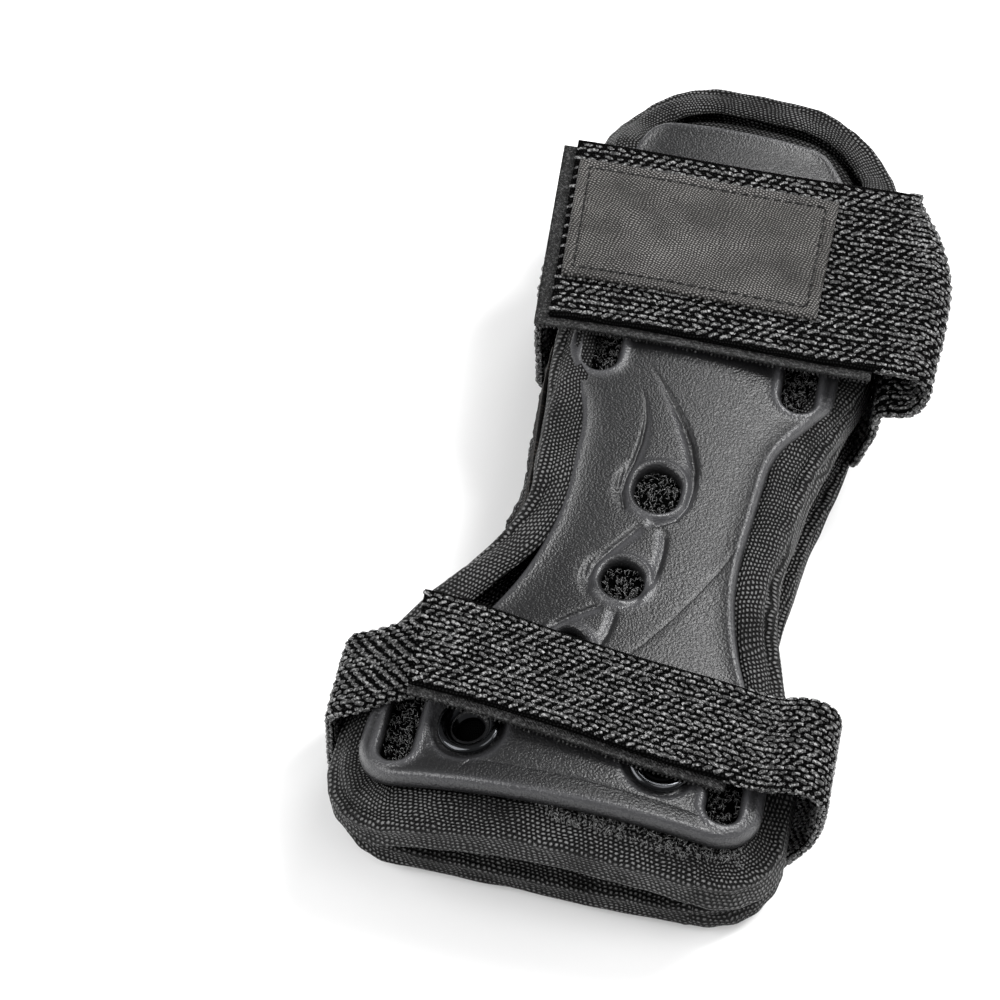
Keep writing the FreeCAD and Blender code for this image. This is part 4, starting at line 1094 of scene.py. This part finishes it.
def make_strap(name, course, y_middle, width, splits, nodes, size, shift, wave, hook_x,
               seed):
    """A webbing strap in two pieces, each bending between two bodies, with its weave.

    splits is the index where the pieces meet and each piece's start and end of bending, which are not used.
    The lower face of the flap has its weave where no hook tape covers it: past hook_x, or below the plate.
    """
    points, normals = course
    cut = splits[0]
    section = strap_section(width, WEBBING - 0.5)
    run = lengths(section)
    for part, (first, last) in enumerate(((0, cut + 1), (cut, len(points)))):
        line, side = points[first:last], normals[first:last]
        travel = lengths(line, False)
        spots = lay_strap(line, side, section, y_middle, shift, wave)
        tail = ("_lower", "_upper")[part]
        base = grid(name + tail, spots, FINISH["web_gap"], (False, True), travel, run, caps=True)
        bare = (line[:, 0] > hook_x) | (line[:, 1] < 36) if part else np.ones(len(line), bool)
        faces = [knuckles(line[bare], side[bare], y_middle, width, shift, wave, size, 1),
                 knuckles(line, side, y_middle, width, shift, wave, size, -1)]
        yarns = weave(name + tail + "_weave", faces, size, seed + part)
        start, end = splits[1 + part]
        for obj in (base, yarns):
            [v * MM for v in start]
            [v * MM for v in end]
            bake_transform(obj)
        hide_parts(*nodes[part])


def no_shift(points, y):
    """No sideways shift."""
    return 0.0 * points[:, 0], 0.0 * points[:, 0]


def wrist_shift(points, y):
    """The broad strap's free end is cut askew, and its loop is tighter towards the elbow."""
    end = smooth(-points[:, 0], -4, 32) * (points[:, 1] > WRIST_OVER)
    loop = smooth(points[:, 0], 43, 54) * smooth(points[:, 1], 26, 33)
    pull = 1.0 + 9.0 * np.clip(y / 25, 0, 1.1) ** 2 + 1.0 * smooth(-y, 4, 25)
    return -4.2 * end * (y / 50.0 - 0.5) - pull * loop, 0.0 * points[:, 0]


def wrist_wave(points, y):
    """Slow unevenness across the broad strap; positive is down where it lies on the plate."""
    over = smooth(-points[:, 0], -46, -30) * (points[:, 1] > WRIST_OVER)
    return over * (0.35 * np.sin(points[:, 0] / 13.0 + y / 30.0) + 0.25 * (y / 25.0) ** 2)


def hand_shift(points, y):
    """The narrow strap runs askew towards its free end."""
    over = smooth(-points[:, 0], -20, 36) * (points[:, 1] > HAND_OVER)
    return -0.8 * over * y / 10.0, 5.0 * over


def hand_wave(points, y):
    """Slow unevenness of the narrow strap, and its lifted free end; positive is down."""
    top = points[:, 1] > HAND_OVER
    over, end = smooth(-points[:, 0], -46, -30) * top, smooth(-points[:, 0], 8, 34) * top
    return over * 0.3 * np.sin(points[:, 0] / 7.0 + y / 9.0) - end * (1.0 + 0.8 * (y / 10.0))


def make_wrist_strap(settings):
    """The broad strap with its loop, over the forearm end of the plate."""
    course = wrist_course()
    # the pieces meet at the level 27.5, on the rise and not in the loop
    cut = int(np.argmin(np.abs(course[0][:, 1] - 27.5) + 99 * (course[0][:, 0] > 50)))
    make_strap("wrist_strap", course, WRIST_STRAP_Y, WRIST_STRAP_WIDTH,
               (cut, ((44, 50, 13.0), (44, 50, 21.0)), ((55, 50, 33.5), (55, 50, 39.8))),
               (("wrist_strap_anchor", "wrist_strap_riser"), ("wrist_strap_flap",)),
               (settings.weave_pitch / MM, *WRIST_WEAVE),
               wrist_shift, wrist_wave, 41.0, 31)


def make_hand_strap():
    """The narrow strap over the hand end, with its hump and lifted free end."""
    course = hand_course()
    # the pieces meet at the level 24, on the rise
    cut = int(np.argmin(np.abs(course[0][:, 1] - 24.0) + 99 * (course[0][:, 0] < 40)))
    make_strap("hand_strap", course, HAND_STRAP_Y, HAND_STRAP_WIDTH,
               (cut, ((48, -60, 10.5), (48, -60, 18.0)), ((48, -60, 31.5), (48, -60, 36.2))),
               (("hand_strap_anchor", "hand_strap_riser"), ("hand_strap_flap",)),
               HAND_WEAVE, hand_shift, hand_wave, 27.0, 41)


def hook_tape(name, start, heading, moves, y_middle, width, body, node, shift, wave, lower_edge):
    """Hook tape under a strap, with its ribbed selvedge showing along the lower edge."""
    points, normals = strap_course(start, heading, moves)
    section = strap_section(width, 1.1)
    travel = lengths(points, False)
    spots = lay_strap(points, normals, section, y_middle, shift, wave)
    base = grid(name, spots, FINISH["hook"], (False, True), travel, lengths(section), caps=True)
    rib_pitch, rib_inset = 0.85, 1.2
    stations = np.arange(0.4, travel[-1], rib_pitch)
    place = np.stack([np.interp(stations, travel, points[:, k]) for k in (0, 1)], -1)
    normal = np.stack([np.interp(stations, travel, normals[:, k]) for k in (0, 1)], -1)
    lift = -0.1 + wave(place, lower_edge + rib_inset)
    dx, dy = shift(place, lower_edge)
    ribs = np.c_[place[:, 0] + normal[:, 0] * lift + dx, y_middle + lower_edge + rib_inset + dy,
                 place[:, 1] + normal[:, 1] * lift]
    out = np.c_[-normal[:, 0], np.full(len(normal), -0.5), -normal[:, 1]]
    along = np.tile([0.12, 1.0, 0.0], (len(ribs), 1))
    edge = yarn(name + "_ribs", ribs, out, along, FINISH["hook"], 3.4, 0.5, 0.3, variation=0.2, seed=3)
    for obj in (base, edge):
        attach(obj, body)
    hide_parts(node)


def make_hook_tapes():
    """Hook tapes of both straps, below their webbing."""
    below = 1.6
    tape_radius = FLAT_RADIUS - below
    hook_tape("wrist_hook_tape", (41.0, 41.0), 180, [(41.0, 0), (tape_radius, degrees_of(33.8, tape_radius))],
              52.2, 50.6, "wrist_flap", "wrist_strap_hook_tape", wrist_shift, wrist_wave, -25.3)
    ring = WEBBING_MID - below - ARCH_Z
    slope = degrees_of(28.0, ring)
    hook_tape("hand_hook_tape", (28.0, ARCH_Z + ring * math.cos(math.radians(slope))), 180 - slope,
              [(ring, slope), (34.0, 0)], -61.2, 20.4, "hand_flap", "hand_strap_hook_tape", hand_shift,
              hand_wave, -10.2)


def make_label(settings):
    """The blank satin patch with its hem and running stitch."""
    # the patch runs towards -x from its right end, 1.6 nearer the elbow than the strap's middle line
    right_end, rise_y, stitch_inset = 27.9, 1.6, 2.5
    half_y = settings.label_width / MM / 2
    length = settings.label_length / MM
    s, y = np.meshgrid(np.linspace(0, length, 113), np.linspace(-half_y, half_y, 66), indexing="ij")
    x = right_end - s

    def strap_top(x, y):
        line = np.c_[x.ravel(), np.full(x.size, 42.0)]
        across = (y + rise_y).ravel()
        sag = np.where(line[:, 0] < 0, line[:, 0] ** 2 / (2 * FLAT_RADIUS), 0.0)
        dx, _ = wrist_shift(line, across)
        level = WEBBING_MID + WEBBING / 2 - sag - wrist_wave(line, across)
        return dx.reshape(x.shape), level.reshape(x.shape)

    hem = np.minimum(np.minimum(s, length - s), half_y - np.abs(y))
    dimple = np.abs(np.sin((s + y) * math.pi / 2.4))
    height = 0.42 * smooth(hem, -0.1, 0.5) + 0.28 * bump(hem, 1.0, 0.7)
    height = height - 0.42 * bump(hem, stitch_inset, 0.45) * dimple
    height += 0.08 * waver(s + 0.7 * y, 8, 4, 40.0) * smooth(hem, 2.4, 5) + 0.12
    dx, under = strap_top(x, y)
    ruffle = 0.25 * waver(s, 9, 5, 40.0) * np.abs(y) / half_y
    top = np.stack([x + dx, WRIST_STRAP_Y + rise_y + y + ruffle, under + height], -1).reshape(-1, 3)
    n, m = s.shape
    i, j = np.meshgrid(np.arange(n - 1), np.arange(m - 1), indexing="ij")
    a = (i * m + j).ravel()
    faces = np.vstack([np.c_[a, a + 1, a + m + 1], np.c_[a, a + m + 1, a + m]])
    obj = face_out(slab("label_satin_patch", top[:, :2], faces, top[:, 2], (under - 0.35).ravel(),
                        FINISH["satin"]))
    left, right = right_end - length + stitch_inset, right_end - stitch_inset
    side = half_y - stitch_inset
    course = even([(left, -side), (right, -side), (right, side), (left, side)], settings.stitch_pitch / MM)
    ahead = np.roll(course, -1, 0) - np.roll(course, 1, 0)
    dx, under = strap_top(course[:, 0], course[:, 1])
    spots = np.c_[course[:, 0] + dx, WRIST_STRAP_Y + rise_y + course[:, 1], under + 0.42]
    up = np.tile([0, 0, 1.0], (len(spots), 1))
    ahead = np.c_[ahead, np.zeros(len(spots))]
    stitch = yarn("label_stitches", spots, up, ahead, FINISH["thread"], 1.75, 0.42, 0.14, seed=5)
    for part in (obj, stitch):
        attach(part, "wrist_flap")
    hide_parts("wrist_strap_label")


# ---- Closed side: counter tabs and gusset -------------------------------------------------------
def make_tab(prefix, side_x, reach, y_middle, width, size, seed, shift):
    """Webbing that comes round the closed side and ends on the plate under a strap.

    side_x is where its side stands, and it ends at x = -reach.
    """
    bend, foot_bend, foot_z = 5.0, 1.9, 1.5
    ring = RIM_TOP + 1.0 - ARCH_Z
    slope, top = degrees_of(-side_x - bend, ring - bend), degrees_of(reach, ring)
    bend_z = ARCH_Z + (ring - bend) * math.cos(math.radians(slope))
    points, normals = strap_course((side_x + 5.0 + foot_bend, foot_z), 180, [
        (5.0, 0), (foot_bend, -90), (bend_z - foot_bend - foot_z, 0), (bend, slope - 90),
        (ring, top - slope)])
    section = strap_section(width, WEBBING - 0.5)
    travel = lengths(points, False)

    def wave(line, y):
        return 0.25 * np.sin(line[:, 1] / 4.0 + y / 6.0)

    spots = lay_strap(points, normals, section, y_middle, shift, wave)
    base = grid(prefix + "_tab_web", spots, FINISH["web_gap"], (False, True), travel, lengths(section),
                caps=True)
    faces = [knuckles(points, normals, y_middle, width, shift, wave, size, side) for side in (1, -1)]
    yarns = weave(prefix + "_tab_weave", faces, size, seed)
    for obj in (base, yarns):
        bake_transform(obj)
    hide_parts(prefix + "_tab", prefix + "_tab_base")


def make_tabs(settings):
    """Both counter tabs; over the plate the narrow one runs askew, as its strap does."""
    def follow(points, y):
        over = smooth(points[:, 0], -48, -30) * smooth(points[:, 1], 26, 34)
        return 0.0 * over, 4.6 * over + 1.2

    make_tab("hand_strap", -49.0, 26.5, HAND_STRAP_Y, 19.0, HAND_WEAVE, 51, follow)
    make_tab("wrist_strap", -31.1, 23.0, 58.0, 36.0, (settings.weave_pitch / MM, *WRIST_WEAVE),
             61, no_shift)


def make_gusset():
    """The stretch side wall, gathered at the waist, with the bound thumb opening."""
    edge = outline(PALM_CORNERS, 1.5, 0.5)
    left = edge[(edge[:, 0] < 0) & (edge[:, 1] > -36) & (edge[:, 1] < 31)]
    left = left[np.argsort(left[:, 1])]
    out = np.gradient(left, axis=0)
    out /= np.linalg.norm(out, axis=1)[:, None]
    out = np.stack([-out[:, 1], out[:, 0]], -1)
    travel = lengths(left, False)
    z_low, z_high = 4.0, 29.5

    def wall(s, z):
        at = np.stack([np.interp(s, travel, left[:, k]) for k in (0, 1)], -1)
        way = np.stack([np.interp(s, travel, out[:, k]) for k in (0, 1)], -1)
        way /= np.linalg.norm(way, axis=1)[:, None]
        t = (z - z_low) / (z_high - z_low)
        belly = np.sin(math.pi * np.clip(t, 0, 1)) ** 0.8
        hand_end = 1 - smooth(at[:, 1], -16, 2)
        fold = np.sin(2 * math.pi * (t * 3.4 + 0.35 * waver(s, 14, 4, 44.0)))
        push = belly * (0.8 + 2.6 * hand_end) + fold * belly * (0.45 + 0.6 * hand_end) - 0.8 * t
        push += 0.3 * waver(s * 3 + z * 2, 15, 7, 24.0) * belly
        return np.c_[at + way * push[:, None], z]

    def box(s_low, s_high, low, high, radius, step):
        return outline([(s_low, low, radius), (s_high, low, radius), (s_high, high, radius),
                        (s_low, high, radius)], 0, step)

    # the thumb opening is 24 along the wall and 11 high
    middle_s = np.interp(0.0, left[:, 1], travel)
    centre_z = 16.6
    hole = box(middle_s - 12, middle_s + 12, centre_z - 5.5, centre_z + 5.5, 5.2, 0.7)
    frame_line = box(0.2, travel[-1] - 0.2, z_low, z_high, 0.5, 0.9)
    extra = lattice(frame_line, 0.95)
    extra = extra[signed(extra, hole) < -0.5]
    flat, faces = fill([frame_line, hole[::-1]], extra)
    points = wall(flat[:, 0], flat[:, 1])
    obj = piece("side_gusset_stretch", points, faces, FINISH["stretch"], flat[faces.ravel()])
    thick = obj.modifiers.new("Thickness", "SOLIDIFY")
    thick.thickness, thick.offset = 1.0 * MM, 0.0
    apply_modifiers(obj)
    face_out(obj)
    ring_angles = np.linspace(0, 2 * math.pi, 12, endpoint=False)
    away = outward(hole)
    spots = np.zeros((len(hole), len(ring_angles), 3))
    for k, angle in enumerate(ring_angles):
        beside = hole + away * (1.5 * math.cos(angle))
        spots[:, k] = wall(beside[:, 0], beside[:, 1])
        spots[:, k, 0] -= 0.95 * math.sin(angle) + 0.12 * np.sin(lengths(hole)[:-1] * 1.7)
    rim = grid("thumb_opening_binding", spots, FINISH["binding"], (True, True), lengths(hole),
               np.arange(13.0) * 0.8)
    for part in (obj, rim):
        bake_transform(part)
    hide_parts("side_gusset")
    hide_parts("thumb_hole_binding")


# ---- Stage ------------------------------------------------------------------------------------
def look_at(obj, place, target):
    """Puts an object at a place, facing a target."""
    obj.location = place
    obj.rotation_euler = (Vector(target) - Vector(place)).to_track_quat("-Z", "Y").to_euler()


def make_stage():
    """Pale floor, soft studio lights and the camera."""
    scene = bpy.context.scene
    scene.view_settings.view_transform = "Standard"
    world = bpy.data.worlds.new("Studio")
    world.use_nodes = True
    world.node_tree.nodes["Background"].inputs[0].default_value = linear("#ffffff")
    world.node_tree.nodes["Background"].inputs[1].default_value = 0.27
    scene.world = world
    made, tree, shader = finish("painted_studio_floor", "#f4f4f4", 0.9)
    body = add(tree, "ShaderNodeTexCoord").outputs["Object"]
    paper = add(tree, "ShaderNodeTexNoise", {"Vector": body, "Scale": 4.0})
    shade = add(tree, "ShaderNodeMapRange", {0: paper.outputs[0], 3: 0.88, 4: 0.93}).outputs[0]
    pale = add(tree, "ShaderNodeCombineColor", {0: shade, 1: shade, 2: shade}).outputs[0]
    tree.links.new(pale, shader.inputs["Base Color"])
    far = 2500
    floor = piece("floor", [(-far, -far, 0), (far, -far, 0), (far, far, 0), (-far, far, 0)],
                  [(0, 1, 2, 3)], made)
    for name, place, size, power in (("key_softbox", (0.56, 0.46, 1.02), 0.5, 17.0),
                                     ("right_softbox", (1.1, 0.1, 0.7), 0.5, 4.0),
                                     ("back_softbox", (0.12, 0.90, 0.85), 0.3, 3.0),
                                     ("left_fill", (-0.8, -0.5, 0.8), 0.9, 15.0),
                                     ("top_softbox", (0.55, -0.35, 1.2), 0.7, 4.0)):
        light = bpy.data.lights.new(name, "AREA")
        light.shape, light.size, light.energy = "SQUARE", size, power
        lamp = bpy.data.objects.new(name, light)
        scene.collection.objects.link(lamp)
        look_at(lamp, place, (0, 0, 0.02))
    lens = bpy.data.cameras.new("Camera")
    lens.lens, lens.sensor_width = 85.0, 36.0
    lens.clip_start = 0.01
    camera = bpy.data.objects.new("Camera", lens)
    scene.collection.objects.link(camera)
    # from the hand end, a little to the right and well above, at 480 mm
    turn, tilt, away = math.radians(13.0), math.radians(55.0), 0.480
    target = Vector((-0.0279, -0.0118, 0.0300))
    back = Vector((math.sin(turn) * math.cos(tilt), -math.cos(turn) * math.cos(tilt), math.sin(tilt)))
    look_at(camera, target + back * away, target)
    scene.camera = camera


# ---- Add-on -----------------------------------------------------------------------------------
def colour_setting(name, description, code):
    """A colour a user can change."""
    return bpy.props.FloatVectorProperty(name=name, description=description, default=linear(code), size=4,
                                         min=0.0, max=1.0, subtype="COLOR")


def length_setting(name, description, default, least, most):
    """A length a user can change, in metres."""
    return bpy.props.FloatProperty(name=name, description=description, default=default, min=least, max=most,
                                   precision=5, subtype="DISTANCE", unit="LENGTH")


class GuardSettings(bpy.types.PropertyGroup):
    """Sizes and colours of the guard's looks"""
    # the plate's colour away from its worn and painted-highlight places, which take the paler colour
    plate_colour: colour_setting("Plate", "Moulded plate, where it is not rubbed", "#141415")
    # the colour of the webbing's painted glints
    webbing_glint_colour: colour_setting("Webbing", "Bright filaments of the straps", "#909090")
    binding_colour: colour_setting("Binding", "Raised threads of the twill binding", "#6e6e6e")
    label_colour: colour_setting("Label", "Raised threads of the blank satin label", "#7e7c7a")
    weave_pitch: length_setting("Weave pitch", "Pitch of the broad strap's weave along the strap",
                                0.0025, 0.002, 0.004)
    label_length: length_setting("Label length", "Length of the label along the broad strap",
                                 0.0576, 0.04, 0.06)
    label_width: length_setting("Label width", "Width of the label across the broad strap",
                                0.0332, 0.02, 0.036)
    stitch_pitch: length_setting("Stitch pitch", "Length of one stitch and its gap", 0.00235, 0.0015, 0.005)


class GUARD_OT_finishes(bpy.types.Operator):
    """Make the materials of every piece"""
    bl_idname = "guard.finishes"
    bl_label = "Finishes"

    def execute(self, context):
        make_finishes(context.scene.wrist_guard)
        return {"FINISHED"}


class GUARD_OT_plate(bpy.types.Operator):
    """Build the moulded plate on the back of the guard"""
    bl_idname = "guard.plate"
    bl_label = "Back plate"

    def execute(self, context):
        make_plate()
        return {"FINISHED"}


class GUARD_OT_eyelets(bpy.types.Operator):
    """Build the rolled eyelets and finish their washers and the palm plate"""
    bl_idname = "guard.eyelets"
    bl_label = "Eyelets and palm plate"

    def execute(self, context):
        make_eyelets()
        return {"FINISHED"}


class GUARD_OT_pads(bpy.types.Operator):
    """Build the foam pads, their bindings and linings, and the loop tape"""
    bl_idname = "guard.pads"
    bl_label = "Pads"

    def execute(self, context):
        make_pads()
        make_bindings()
        make_linings()
        return {"FINISHED"}


class GUARD_OT_wrist_strap(bpy.types.Operator):
    """Build the broad strap with its blank label"""
    bl_idname = "guard.wrist_strap"
    bl_label = "Wrist strap and label"

    def execute(self, context):
        make_wrist_strap(context.scene.wrist_guard)
        make_label(context.scene.wrist_guard)
        return {"FINISHED"}


class GUARD_OT_hand_strap(bpy.types.Operator):
    """Build the narrow strap over the hand"""
    bl_idname = "guard.hand_strap"
    bl_label = "Hand strap"

    def execute(self, context):
        make_hand_strap()
        return {"FINISHED"}


class GUARD_OT_closures(bpy.types.Operator):
    """Build the hook tapes and the counter tabs"""
    bl_idname = "guard.closures"
    bl_label = "Hook tapes and tabs"

    def execute(self, context):
        make_hook_tapes()
        make_tabs(context.scene.wrist_guard)
        return {"FINISHED"}


class GUARD_OT_gusset(bpy.types.Operator):
    """Build the stretch side wall with the bound thumb opening"""
    bl_idname = "guard.gusset"
    bl_label = "Side gusset"

    def execute(self, context):
        make_gusset()
        return {"FINISHED"}


class GUARD_OT_stage(bpy.types.Operator):
    """Set the floor, the lights and the camera"""
    bl_idname = "guard.stage"
    bl_label = "Stage"

    def execute(self, context):
        make_stage()
        return {"FINISHED"}


OPERATORS = (GUARD_OT_finishes, GUARD_OT_plate, GUARD_OT_eyelets, GUARD_OT_pads, GUARD_OT_wrist_strap,
             GUARD_OT_hand_strap, GUARD_OT_closures, GUARD_OT_gusset, GUARD_OT_stage)


class GUARD_PT_panel(bpy.types.Panel):
    """Settings of the guard, and a button for each group of pieces"""
    bl_idname = "GUARD_PT_panel"
    bl_label = "Wrist guard"
    bl_space_type = "VIEW_3D"
    bl_region_type = "UI"
    bl_category = "Wrist guard"

    def draw(self, context):
        for name in GuardSettings.__annotations__:
            self.layout.prop(context.scene.wrist_guard, name)
        for operator in OPERATORS:
            self.layout.operator(operator.bl_idname)


CLASSES = (GuardSettings, *OPERATORS, GUARD_PT_panel)


def register():
    """Adds the classes and the scene's settings."""
    for item in CLASSES:
        bpy.utils.register_class(item)
    bpy.types.Scene.wrist_guard = bpy.props.PointerProperty(type=GuardSettings)


def unregister():
    """Takes them away again."""
    del bpy.types.Scene.wrist_guard
    for item in reversed(CLASSES):
        bpy.utils.unregister_class(item)


def main():
    register()
    bpy.ops.guard.finishes()
    bpy.ops.guard.plate()
    bpy.ops.guard.eyelets()
    bpy.ops.guard.pads()
    bpy.ops.guard.wrist_strap()
    bpy.ops.guard.hand_strap()
    bpy.ops.guard.closures()
    bpy.ops.guard.gusset()
    bpy.ops.guard.stage()
    bpy.context.view_layer.update()


if __name__ == "__main__":
    main()
